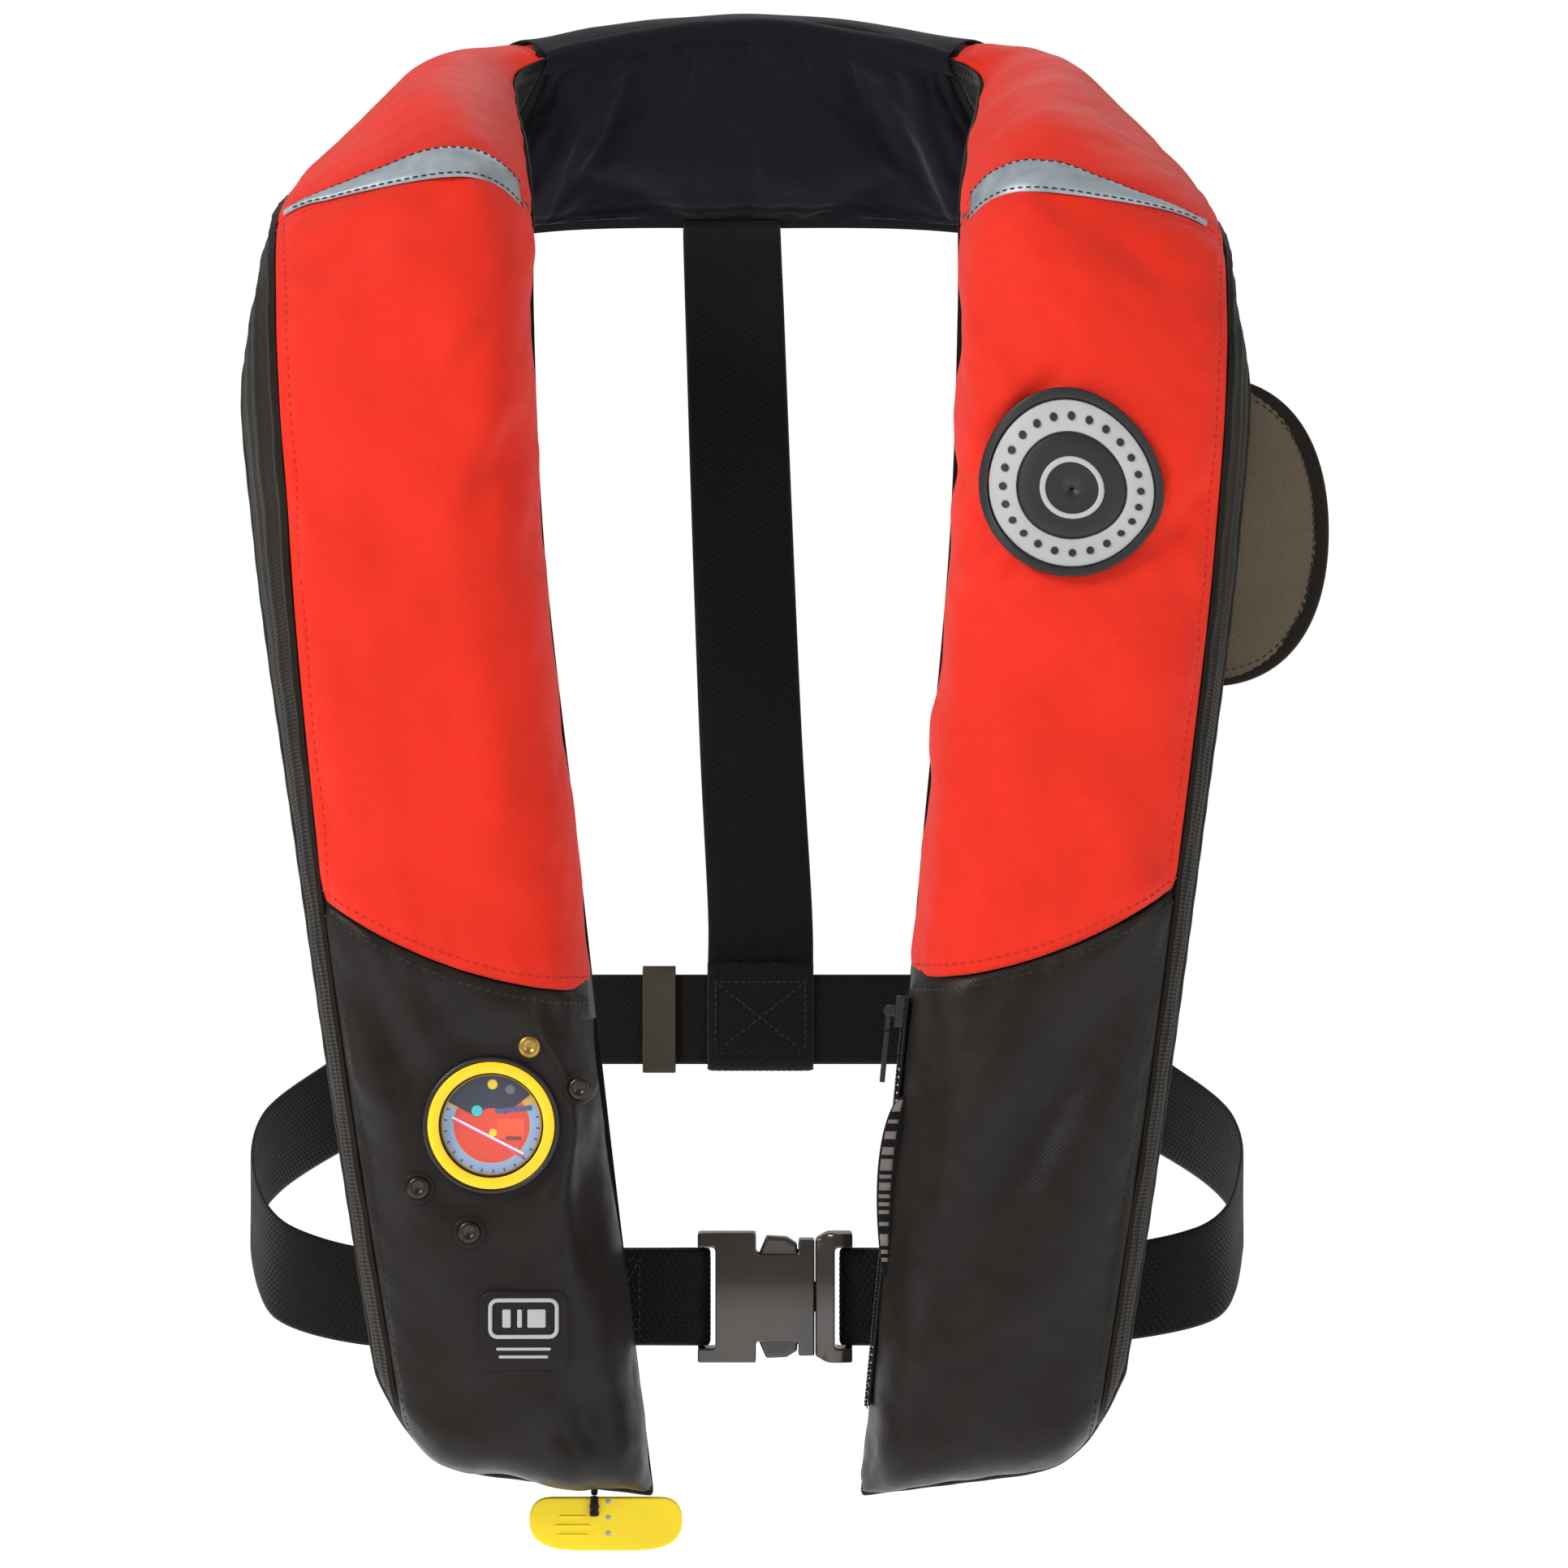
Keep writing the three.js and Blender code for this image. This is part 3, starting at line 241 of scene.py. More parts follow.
def coated(name, colour, roughness=0.42, grain=1.3, worn=0.1):
    """Coated nylon: a fine leathery grain over a close weave, a dull gloss, and scuffs."""
    n = Nodes(name)
    cells = n.add("ShaderNodeTexVoronoi", n.place(), feature="SMOOTH_F1")
    cells.inputs["Scale"].default_value = 1 / (grain * MM)
    patches = n.ramp(n.noise(45, 4), 0.3, 0.72)
    scuffs = n.ramp(n.noise(5, 6, 0.75), 0.55, 0.75)
    base = n.mix(patches, shade(colour, 1 - worn), shade(colour, 1 + worn))
    rubbed = n.mix(n.math("MULTIPLY", scuffs, value=0.3), base, shade(colour, 2.1))
    normal = n.bump(n.weave(0.8, 0.8), 0.05, 0.6, n.bump(cells.outputs["Distance"], 0.12, 0.5))
    rough = n.ramp(n.noise(14, 5, 0.6), 0.3, 0.7, roughness - 0.09, roughness + 0.11)
    return n.finish(rubbed, rough, normal, Sheen_Weight=0.02, Specular_IOR_Level=0.2)


def moulded(name, colour, roughness=0.3, worn=0.25, grain=0.02, **values):
    """Moulded plastic: faint flow marks, fine scratches and uneven gloss."""
    n = Nodes(name)
    marks = n.ramp(n.noise(18, 4), 0.3, 0.7)
    stretched = n.add("ShaderNodeMapping", n.place(), in_3=(40, 40, 900))
    scratch = n.add("ShaderNodeTexNoise", stretched.outputs[0])
    scratch.inputs["Scale"].default_value = 4.0
    scratch.inputs["Detail"].default_value = 5.0
    base = n.mix(marks, shade(colour, 1 - worn), shade(colour, 1 + worn * 0.5))
    normal = n.bump(n.noise(0.7, 2), grain, 0.5, n.bump(scratch.outputs["Fac"], 0.006, 0.35))
    rough = n.ramp(scratch.outputs["Fac"], 0.3, 0.75, max(0.05, roughness - 0.05), roughness + 0.08)
    return n.finish(base, rough, normal, **values)


def metal(name, colour, roughness=0.3, tarnish=0.4):
    """Metal with brushed lines and tarnish in soft spots."""
    n = Nodes(name)
    spots = n.ramp(n.noise(3, 5, 0.7), 0.45, 0.75)
    stretched = n.add("ShaderNodeMapping", n.place(), in_3=(200, 3000, 200))
    lines = n.add("ShaderNodeTexNoise", stretched.outputs[0])
    lines.inputs["Scale"].default_value = 1.0
    base = n.mix(n.math("MULTIPLY", spots, value=tarnish), colour, shade(colour, 0.3))
    rough = n.ramp(spots, 0, 1, roughness, min(1.0, roughness + 0.3))
    return n.finish(base, rough, n.bump(lines.outputs["Fac"], 0.02, 0.4), Metallic=1.0)


RED = linear(232, 46, 27)
CHARCOAL = linear(27, 23, 20)
BLACK = linear(17, 16, 17)


def make_materials():
    m = {
        "red": cloth("red_nylon", RED, (0.75, 0.75), 0.09, 0.6, 0.1, 0.12),
        "coated": coated("charcoal_coated_nylon", CHARCOAL),
        "black": cloth("black_polyester", BLACK, (1.1, 1.1), 0.14, 0.8, 0.2, 0.2),
        "neoprene": cloth("jersey_neoprene", linear(18, 18, 26), (0.7, 0.5), 0.06, 0.82, 0.12, 0.16, 0.5),
        "trim": cloth("gusset_fabric", linear(33, 28, 22), (1.2, 0.8), 0.16, 0.72, 0.12, 0.25),
        "flap": cloth("flap_fabric", linear(104, 93, 77), (1.0, 1.0), 0.14, 0.75, 0.2, 0.16),
        "webbing": cloth("nylon_webbing", linear(21, 18, 16), (1.9, 1.25), 0.3, 0.62, 0.08, 0.25, 0.33),
        "bladder": coated("bladder_fabric", linear(216, 222, 50), 0.5, 2.0, 0.08),
        "red_thread": cloth("red_thread", linear(196, 40, 30), (0.4, 0.4), 0.1, 0.7, 0.2, 0.1),
        "black_thread": cloth("black_thread", linear(33, 31, 30), (0.4, 0.4), 0.1, 0.55, 0.3, 0.1),
        "cord": cloth("braided_cord", linear(24, 23, 24), (0.8, 0.8), 0.25, 0.7, 0.25, 0.2, 0.5),
        "buckle": moulded("acetal_buckle", linear(44, 37, 31), 0.2, 0.12, Coat_Weight=0.6,
                          Coat_Roughness=0.12),
        "black_plastic": moulded("black_nylon_plastic", linear(20, 19, 19), 0.38),
        "yellow": moulded("yellow_plastic", linear(255, 205, 20), 0.42, 0.06),
        "pull_yellow": moulded("pull_yellow_plastic", linear(255, 222, 8), 0.45, 0.05),
        "orange": moulded("orange_plastic", linear(224, 89, 42), 0.4, 0.08),
        "badge": moulded("badge_rubber", linear(24, 24, 25), 0.5, 0.15, 0.05),
        "badge_grey": moulded("badge_grey_rubber", linear(172, 174, 176), 0.5, 0.06, 0.05),
        "trim_plastic": moulded("keeper_plastic", linear(58, 52, 38), 0.4, 0.2),
        "dash": cloth("pale_yarn", linear(142, 133, 128), (0.6, 0.6), 0.15, 0.8, 0.1, 0.3),
        "brass": metal("antique_brass", (0.42, 0.26, 0.07), 0.34, 0.6),
        "dark_snap": metal("black_oxide_snap", (0.05, 0.045, 0.04), 0.3, 0.4),
        "steel": metal("zinc_steel", (0.56, 0.57, 0.58), 0.3, 0.3),
    }
    n = Nodes("retroreflective_tape")
    beads = n.add("ShaderNodeTexVoronoi", n.place())
    beads.inputs["Scale"].default_value = 1 / (0.45 * MM)
    patches = n.ramp(n.noise(12, 4), 0.3, 0.7)
    grey = n.mix(patches, linear(138, 148, 156), linear(166, 175, 181))
    m["reflective"] = n.finish(grey, n.ramp(patches, 0, 1, 0.36, 0.5),
                               n.bump(beads.outputs["Distance"], 0.05, 0.5), Metallic=0.25)
    n = Nodes("clear_lens")
    haze = n.ramp(n.noise(8, 4), 0.3, 0.7, 0.02, 0.09)
    m["clear"] = n.finish((0.92, 0.95, 0.97), haze, Alpha=0.03, Specular_IOR_Level=0.5)
    return m


# ---- Mesh helpers --------------------------------------------------------------------------------

def unit(a):
    return a / np.maximum(np.linalg.norm(a, axis=-1, keepdims=True), 1e-12)


def smoothstep(x, low, high):
    t = np.clip((np.asarray(x, float) - low) / (high - low), 0, 1)
    return t * t * (3 - 2 * t)


def lerp(a, b, t):
    return a + (b - a) * t


def mesh_object(name, verts, faces, material, uv=None, levels=0, smooth=True):
    """An object from millimetre vertices, with its cloth map per vertex and subdivision levels."""
    mesh = bpy.data.meshes.new(name)
    mesh.from_pydata((np.asarray(verts) * MM).tolist(), [], [list(f) for f in faces])
    if uv is not None:
        layer = mesh.uv_layers.new(name=CLOTH_MAP)
        index = np.empty(len(mesh.loops), np.int32)
        mesh.loops.foreach_get("vertex_index", index)
        layer.uv.foreach_set("vector", (np.asarray(uv)[index] * MM).astype(np.float32).ravel())
    mesh.polygons.foreach_set("use_smooth", [smooth] * len(mesh.polygons))
    mesh.materials.append(material)
    mesh.update()
    made = bpy.data.objects.new(name, mesh)
    bpy.context.scene.collection.objects.link(made)
    outward(mesh)
    if levels:
        made.modifiers.new("subdivision", "SUBSURF").levels = levels
        made.modifiers["subdivision"].render_levels = levels
    return made


def outward(mesh):
    """Turns every face outward."""
    bm = bmesh.new()
    bm.from_mesh(mesh)
    bmesh.ops.recalc_face_normals(bm, faces=bm.faces)
    bm.to_mesh(mesh)
    bm.free()


def piece(made, body, slot, *nodes):
    """Says which body a piece rides and the CAD nodes that it stands for. The slot is not used."""
    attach(made, body)
    if nodes:
        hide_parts(*nodes)
    return made


def lengths(grid, axis):
    """Distance along a grid from its first row or column."""
    steps = np.linalg.norm(np.diff(grid, axis=axis), axis=-1)
    zero = np.zeros_like(np.take(steps, [0], axis))
    return np.cumsum(np.concatenate([zero, steps], axis), axis)


def grid_normals(grid, toward):
    """Unit normals of a grid (rows, columns, 3), on the side that `toward` points to."""
    along, across = np.gradient(grid, axis=0), np.gradient(grid, axis=1)
    normals = unit(np.cross(along, across))
    return normals * np.sign(np.sum(normals * toward, -1, keepdims=True))


def shell_object(name, outer, inner, material, levels=1):
    """A closed shell between two grids of the same size."""
    rows, columns = outer.shape[:2]
    number = np.arange(rows * columns).reshape(rows, columns)
    quads = np.stack([number[:-1, :-1], number[:-1, 1:], number[1:, 1:], number[1:, :-1]], -1).reshape(-1, 4)
    loop = np.concatenate([number[0, :-1], number[:-1, -1], number[-1, :0:-1], number[:0:-1, 0]])
    after = np.roll(loop, -1)
    size = rows * columns
    rim = np.stack([loop, after, after + size, loop + size], -1)
    faces = np.concatenate([quads, quads[:, ::-1] + size, rim])
    across = lengths(outer, 1)
    along = lengths(outer, 0)
    uv = np.stack([across - across[:, columns // 2][:, None],
                   np.broadcast_to(along[:, columns // 2][:, None], across.shape)], -1).reshape(-1, 2)
    verts = np.concatenate([outer.reshape(-1, 3), inner.reshape(-1, 3)])
    return mesh_object(name, verts, faces, material, np.concatenate([uv, uv]), levels)


def prism_faces(first, sides):
    """Faces over four rings of vertices in a row, with both ends closed."""
    faces = []
    for ring in range(first, first + 3 * sides, sides):
        for i in range(sides):
            j = (i + 1) % sides
            faces.append((ring + i, ring + j, ring + sides + j, ring + sides + i))
    faces.append(tuple(range(first + sides - 1, first - 1, -1)))
    faces.append(tuple(range(first + 3 * sides, first + 4 * sides)))
    return faces


def tube_object(name, rings, material, levels=0, closed=False):
    """A closed skin over rings of points (rings, points, 3); closed joins the last to the first."""
    count, size = rings.shape[:2]
    number = np.arange(count * size).reshape(count, size)
    following = np.roll(number, -1, 0) if closed else number[1:]
    current = number if closed else number[:-1]
    faces = np.stack([current, np.roll(current, -1, 1), np.roll(following, -1, 1), following], -1)
    faces = [tuple(f) for f in faces.reshape(-1, 4)]
    if not closed:
        faces += [tuple(number[0][::-1]), tuple(number[-1])]
    along = lengths(rings, 0).mean(1)
    around = lengths(np.concatenate([rings, rings[:, :1]], 1), 1)[:, :size]
    uv = np.stack([around, np.broadcast_to(along[:, None], around.shape)], -1).reshape(-1, 2)
    return mesh_object(name, rings.reshape(-1, 3), faces, material, uv, levels)


def sweep(points, wide, thick, profile):
    """Rings of a profile [(a, b), ...] set along a path: a along `wide`, b along `thick`."""
    profile = np.asarray(profile, float)
    return points[:, None] + wide[:, None] * profile[None, :, :1] + thick[:, None] * profile[None, :, 1:]


def round_profile(radius, sides=10, flat=1.0):
    turn = np.linspace(0, 2 * np.pi, sides, endpoint=False)
    return np.stack([radius * np.cos(turn), radius * flat * np.sin(turn)], -1)


def ripple(points, size, seed, waves=9):
    """Smooth lumps of about the given size, roughly from -1 to 1."""
    rng = np.random.default_rng(seed)
    ways = unit(rng.normal(size=(waves, 3))) * (rng.uniform(0.6, 1.5, waves) * 2 * np.pi / size)[:, None]
    return np.sin(points @ ways.T + rng.uniform(0, 2 * np.pi, waves)).sum(-1) / math.sqrt(waves) / 1.2


def catmull(points):
    """A centripetal Catmull-Rom curve through points, for arrays of t from 0 to 1."""
    p = np.asarray(points, float)
    q = np.vstack([2 * p[0] - p[1], p, 2 * p[-1] - p[-2]])

    def at(t):
        place = np.clip(np.asarray(t, float), 0, 1) * (len(p) - 1)
        i = np.minimum(place.astype(int), len(p) - 2)
        w = (place - i)[..., None]
        a, b, c, d = (q[i + j] for j in range(4))
        da, db, dc = (np.sqrt(np.linalg.norm(t - s, axis=-1, keepdims=True))
                      for s, t in ((a, b), (b, c), (c, d)))
        t1 = ((b - a) / da - (c - a) / (da + db) + (c - b) / db) * db
        t2 = ((c - b) / db - (d - b) / (db + dc) + (d - c) / dc) * db
        return b + t1 * w + (3 * (c - b) - 2 * t1 - t2) * w**2 + (2 * (b - c) + t1 + t2) * w**3

    return at


# ---- The band ------------------------------------------------------------------------------------
# Side right is -X. Station k runs from 0, the bottom of a lobe, to 10, the nape; v from -1, the outer
# edge, to 1, the neck edge.

GAP = 0.3
FABRIC, COVER_CLOTH, PANEL = 1.8, 1.35, 1.5
OPEN_END = 0.14  # share of the height left at the bottom edge
NECK_HALF, BAND_WIDTH, CHEST_DEPTH = 83, 112, 142
NECK_LEAN = {"right": 47, "left": 38}
BOTTOM_WIDTH = {"right": 100, "left": 95}
LOBE_TOP, LOBE_LENGTH = -85, 462
LOBE_BOTTOM = LOBE_TOP - LOBE_LENGTH
LOBE_THICK, SHOULDER_THICK, NAPE_THICK = 45, 38, 26
NAPE_WIDTH, NAPE_TILT, PAD_THICK = 92, math.radians(30), 8
SIGN = {"right": -1, "left": 1}
SIDES = ("right", "left")
LOBE_STATIONS = ((1, 1, 0), (0.735, 0.68, 0.4), (0.455, 0.37, 0.75), (0.195, 0.085, 1))  # drop, lean, widen
SHOULDER_STATIONS = (  # share of the depth, distance out and height, of the neck edge then the outer
    ((1, 0, LOBE_TOP), (1, 0, LOBE_TOP - 22)),
    ((0.9, 1, -42), (0.88, -9, -88)),
    ((0.67, 5, -14), (0.63, -19, -72)),
    ((0.36, 11, 9), (0.3, -28, -62)),
    ((0.18, 10, 25), (-0.05, -50, -50)),
    ((0.12, -23, 37), (-0.19, -107, -37)),
)
NAPE_STATION, SHOULDER_START, LAST = 10, 4, 11
YOKE_STATION = NAPE_STATION - 1.6
STATION_LENGTH = LOBE_LENGTH * (LOBE_STATIONS[0][0] - LOBE_STATIONS[1][0])
WINDOW = np.array([-97.4, LOBE_BOTTOM + 146])
WINDOW_RADIUS, WINDOW_HEIGHT = 26.5, LOBE_THICK - 2
RING_RADIUS, HUB_RADIUS, VIEW_RADIUS, WINDOW_HOLE = 24.4, 22, 20, 24.2
NAPE_NORMAL = np.array([0, math.cos(NAPE_TILT), math.sin(NAPE_TILT)])
NAPE_ACROSS = np.array([0, -math.sin(NAPE_TILT), math.cos(NAPE_TILT)])


def edge_curves(side):
    s, neck, outer = SIGN[side], [], []
    for drop, lean, widen in LOBE_STATIONS:
        x, z = NECK_HALF - NECK_LEAN[side] * lean, LOBE_TOP - LOBE_LENGTH * drop
        neck.append((s * x, -CHEST_DEPTH, z))
        outer.append((s * (x + lerp(BOTTOM_WIDTH[side], BAND_WIDTH, widen)), -CHEST_DEPTH, z))
    for (n_depth, n_out, n_z), (o_depth, o_out, o_z) in SHOULDER_STATIONS:
        neck.append((s * (NECK_HALF + n_out), -CHEST_DEPTH * n_depth, n_z))
        outer.append((s * (NECK_HALF + BAND_WIDTH + o_out), -CHEST_DEPTH * o_depth, o_z))
    middle = NAPE_NORMAL * (PAD_THICK + PANEL + 2 * GAP)
    for edge, way in ((neck, 0.5), (outer, -0.5)):
        beyond = (-edge[-1][0], edge[-1][1], edge[-1][2])
        edge += [middle + NAPE_ACROSS * NAPE_WIDTH * way, beyond]
    return catmull(neck), catmull(outer)


EDGES = {side: edge_curves(side) for side in SIDES}


def band_frame(side, k):
    """Middle, direction across, outward normal and half width at stations k."""
    neck, outer = EDGES[side]
    k = np.asarray(k, float)

    def middle(value):
        t = np.clip(value / LAST, 0, 1)
        return (neck(t) + outer(t)) / 2

    t = np.clip(k / LAST, 0, 1)
    across = neck(t) - outer(t)
    half = np.linalg.norm(across, axis=-1, keepdims=True) / 2
    across = across / (2 * half)
    along = unit(middle(k + 0.02) - middle(k - 0.02))
    normal = unit(np.cross(across, along)) * -SIGN[side]
    return middle(k), across, normal, half


def on_band(side, k, v, lift):
    """Points of the band's wearer's side, raised along its outward normal."""
    middle, across, normal, half = band_frame(side, k)
    v, lift = np.asarray(v, float)[..., None], np.asarray(lift, float)[..., None]
    return middle + across * half * v + normal * lift


STATIONS = np.linspace(0, SHOULDER_START + 1, 400)
STATION_HEIGHTS = {side: band_frame(side, STATIONS)[0][:, 2] for side in SIDES}


def station_at(side, z):
    return np.interp(z, STATION_HEIGHTS[side], STATIONS)


def bottom_station(v):
    v = np.asarray(v, float)
    return (6 * (1 - v) + 35 * np.maximum(0, -v) ** 5) / STATION_LENGTH


def thickness_at(k):
    rise = smoothstep(k, SHOULDER_START, NAPE_STATION - 2.5)
    return lerp(lerp(LOBE_THICK, SHOULDER_THICK, rise), NAPE_THICK,
                smoothstep(k, NAPE_STATION - 3, NAPE_STATION - 0.5))


def height_at(side, k, v, open_end=0.3):
    """Height of the cover above the band; open_end is its share left at the bottom."""
    k, v = np.broadcast_arrays(np.asarray(k, float), np.asarray(v, float))
    share = np.clip((k - bottom_station(v)) * STATION_LENGTH / 24, 0, 1)
    thin = lerp(open_end, 1, (1 - (1 - share) ** 3) ** (1 / 2.2))
    plain_height = thickness_at(k) * (1 - np.abs(v) ** 4).clip(0) ** (1 / 2.2) * thin
    if side == "left":
        return plain_height
    at = on_band(side, k, v, 0.0)
    away = np.hypot(at[..., 0] - WINDOW[0], at[..., 2] - WINDOW[1]) - WINDOW_RADIUS
    flat = np.where(k > SHOULDER_START, 1, smoothstep(away, 3, 17))
    return lerp(WINDOW_HEIGHT, plain_height, flat)


def on_cover(side, k, v, lift=0.0, **more):
    return on_band(side, k, v, height_at(side, k, v, **more) + GAP + lift)


def seam_station(side):
    start = station_at(side, LOBE_BOTTOM + {"right": 197, "left": 202}[side])
    return lambda v: start + 40 * ((1 - v) / 2) ** 2 / (LOBE_LENGTH * 0.28)


def tape_station(side):
    return lambda v: {"right": 4.88, "left": 4.76}[side] + 0.2 * ((1 - v) / 1.5) ** 2


def trim_edge(side, k):
    low, high = {"right": (8, 16), "left": (8, 10)}[side]
    wide = lerp(low, high, smoothstep(k, 1.6, 3.4))
    return -1 + wide / band_frame(side, k)[3][..., 0]


# ---- Sheets, seams and stitches ------------------------------------------------------------------

def spread(low, high, n):
    """n + 1 values from low to high, closer together near both ends."""
    return lerp(low, high, (1 - np.cos(np.pi * np.arange(n + 1) / n)) / 2)


def crease(points, folds):
    """Sum of soft folds. Each fold is (x0, z0, x1, z1, width, depth): a valley with a ridge beside it."""
    total = np.zeros(points.shape[:-1])
    for x0, z0, x1, z1, width, depth in folds:
        start, way = np.array([x0, z0], float), np.array([x1 - x0, z1 - z0], float)
        length = np.linalg.norm(way)
        way /= length
        off = points[..., (0, 2)] - start
        along = off @ way
        side = (off[..., 0] * way[1] - off[..., 1] * way[0]) / width
        fade = smoothstep(along, -0.25 * length, 0.3 * length)
        fade = fade * (1 - smoothstep(along, 0.7 * length, 1.25 * length))
        total += depth * fade * (0.7 * np.exp(-((side - 1.3) ** 2)) - np.exp(-(side**2)))
    return total


def border(grid, edge):
    """Distance of each point of a grid from one border: start, end (rows), low or high (columns)."""
    axis, flip = {"start": (0, 0), "end": (0, 1), "low": (1, 0), "high": (1, 1)}[edge]
    away = lengths(grid, axis)
    return np.take(away, [-1], axis) - away if flip else away


SEAM_DIP, PUCKER, PUCKER_REACH, PUCKER_PITCH = 1.4, 0.75, 16, 17


def seam_relief(grid, edges, seed, flat=("low",)):
    """A seam at each named border: the cloth dips into it, is crimped by its stitches, and puckers.

    It hardly dips at the borders named in `flat`, which lie beside a wall or under a tape.
    """
    total = np.zeros(grid.shape[:2])
    for number, edge in enumerate(edges):
        away = border(grid, edge)
        run = lengths(grid, 1 if edge in ("start", "end") else 0)
        wander = 2.5 * ripple(grid, 60, seed + 7 * number)
        ridges = np.sin(2 * np.pi * run / PUCKER_PITCH + wander)
        ridges = ridges * (0.6 + 0.4 * ripple(grid, 40, seed + number))
        deep, crimp = (0.4, 0.3 if edge == "low" else 0) if edge in flat else (SEAM_DIP, PUCKER)
        total += -deep * np.exp(-((away / 2.6) ** 2)) - 0.45 * np.exp(-(((away - 5) / 1.1) ** 2))
        total += crimp * ridges * np.exp(-away / PUCKER_REACH) * smoothstep(away, 0.5, 4)
    return total


def edge_line(grid, normals, edge, inset):
    """Points and normals along a border of a grid, at a distance in from it."""
    if edge in ("low", "high"):
        grid, normals = grid.swapaxes(0, 1), normals.swapaxes(0, 1)
    if edge in ("end", "high"):
        grid, normals = grid[::-1], normals[::-1]
    away = lengths(grid, 0)
    columns = np.arange(grid.shape[1])
    row = np.clip((away < inset).sum(0) - 1, 0, len(grid) - 2)
    gap = away[row + 1, columns] - away[row, columns]
    t = ((inset - away[row, columns]) / np.maximum(gap, 1e-9))[:, None]
    return (lerp(grid[row, columns], grid[row + 1, columns], t),
            unit(lerp(normals[row, columns], normals[row + 1, columns], t)))


def resample(points, step, *others):
    """Points a step apart along a path, and other arrays carried along with them."""
    away = np.concatenate([[0], np.cumsum(np.linalg.norm(np.diff(points, axis=0), axis=1))])
    count = max(2, int(round(away[-1] / step)) + 1)
    at = np.linspace(0, away[-1], count)
    return [np.stack([np.interp(at, away, a[:, i]) for i in range(3)], -1) for a in (points, *others)]


class Stitches:
    """Rows of lockstitch gathered into one object: each stitch is a short thread sunk at both ends."""

    SIDES = 6

    def __init__(self, name, material, body=JACKET, slot="black_fabric"):
        self.name, self.material, self.body, self.slot = name, material, body, slot
        self.verts, self.faces, self.count = [], [], 0

    def row(self, points, normals, pitch=3.6, length=2.7, radius=0.36, lift=0.1):
        at, up = resample(np.asarray(points, float), pitch, np.asarray(normals, float))
        along = unit(np.gradient(at, axis=0))
        up = unit(up - along * np.sum(up * along, -1, keepdims=True))
        side = np.cross(along, up)
        turn = np.linspace(0, 2 * np.pi, self.SIDES, endpoint=False)
        rings = []
        for share, size, sink in ((-0.5, 0.35, -0.35), (-0.28, 1, 0), (0.28, 1, 0), (0.5, 0.35, -0.35)):
            middle = at + along * length * share + up * (lift + sink)
            rings.append(middle[:, None] + side[:, None] * (radius * size * np.cos(turn))[None, :, None]
                         + up[:, None] * (radius * size * np.sin(turn))[None, :, None])
        for _ in at:
            self.faces += prism_faces(self.count, self.SIDES)
            self.count += 4 * self.SIDES
        self.verts.append(np.stack(rings, 1).reshape(-1, 3))

    def make(self):
        verts = np.concatenate(self.verts)
        made = mesh_object(self.name, verts, self.faces, self.material, verts[:, (0, 2)])
        return piece(made, self.body, self.slot)


# ---- Covers --------------------------------------------------------------------------------------

def cover_grid(side, start, end, rows, columns=56, ease=1.0, **more):
    """Grid and normals of the cover's outer face between two stations given as functions of v."""
    t = (np.linspace(0, 1, rows + 1) ** ease)[:, None]
    first = trim_edge(side, start(np.array(-1.0)))
    v = np.broadcast_to(spread(first, 1.0, columns), (rows + 1, columns + 1))
    edge = trim_edge(side, lerp(start(v), end(v), t)[:, 0])[:, None] + GAP / 50
    v = edge + (v - first) / (1 - first) * (1 - edge)
    k = lerp(start(v), end(v), t)
    grid = on_cover(side, k, v, **more)
    return grid, grid_normals(grid, band_frame(side, k)[2])


# Soft folds, in the plane that the wearer's front shows, as crease() takes them.
FOLDS = {
    "left": (
        (84, -150, 122, -112, 6, 3.4), (86, -180, 118, -150, 6, 2.8), (88, -204, 112, -182, 5, 1.8),
        (182, -150, 160, -178, 7, 1.3), (184, -215, 165, -190, 7, 1.0), (84, -232, 100, -300, 9, 1.0),
        (150, -260, 172, -320, 12, 1.1), (104, -315, 140, -296, 9, 0.9), (95, -92, 110, -118, 5, 0.9),
        (130, -55, 165, -75, 8, 1.1), (105, -25, 128, -52, 7, 1.0),
    ),
    "right": (
        (-86, -128, -104, -168, 7, 1.2), (-186, -135, -160, -160, 8, 1.2), (-88, -215, -80, -290, 9, 1.1),
        (-172, -250, -150, -310, 12, 1.2), (-168, -215, -140, -205, 9, 0.8), (-76, -330, -110, -312, 9, 1.0),
        (-95, -90, -112, -112, 5, 0.8), (-130, -50, -165, -72, 8, 1.2), (-104, -22, -126, -50, 7, 1.0),
    ),
}
LOWER_FOLDS = {
    "right": (
        (-150, -345, -118, -398, 11, 2.4), (-120, -350, -106, -384, 8, 1.8), (-76, -350, -69, -376, 7, 1.6),
        (-62, -356, -57, -440, 8, 1.8), (-68, -400, -58, -462, 7, 1.3), (-154, -392, -138, -450, 12, 1.7),
        (-64, -500, -52, -540, 9, 2.0), (-126, -460, -112, -520, 14, 1.5), (-96, -536, -58, -512, 9, 1.3),
    ),
    "left": (
        (150, -342, 104, -418, 12, 2.4), (128, -352, 92, -446, 15, 2.0), (70, -378, 66, -470, 9, 1.8),
        (148, -420, 126, -500, 14, 1.6), (84, -448, 74, -540, 12, 1.6), (118, -470, 98, -540, 15, 1.3),
    ),
}


def puff(grid, normals, relief):
    """Raises a grid by a relief in millimetres, held within 5.5 either way."""
    return grid + normals * np.clip(relief, -5.5, 5.5)[..., None]


def inside_of(grid, normals, thickness):
    return grid - normals * thickness


def yoke_station(v):
    return YOKE_STATION + 0 * v


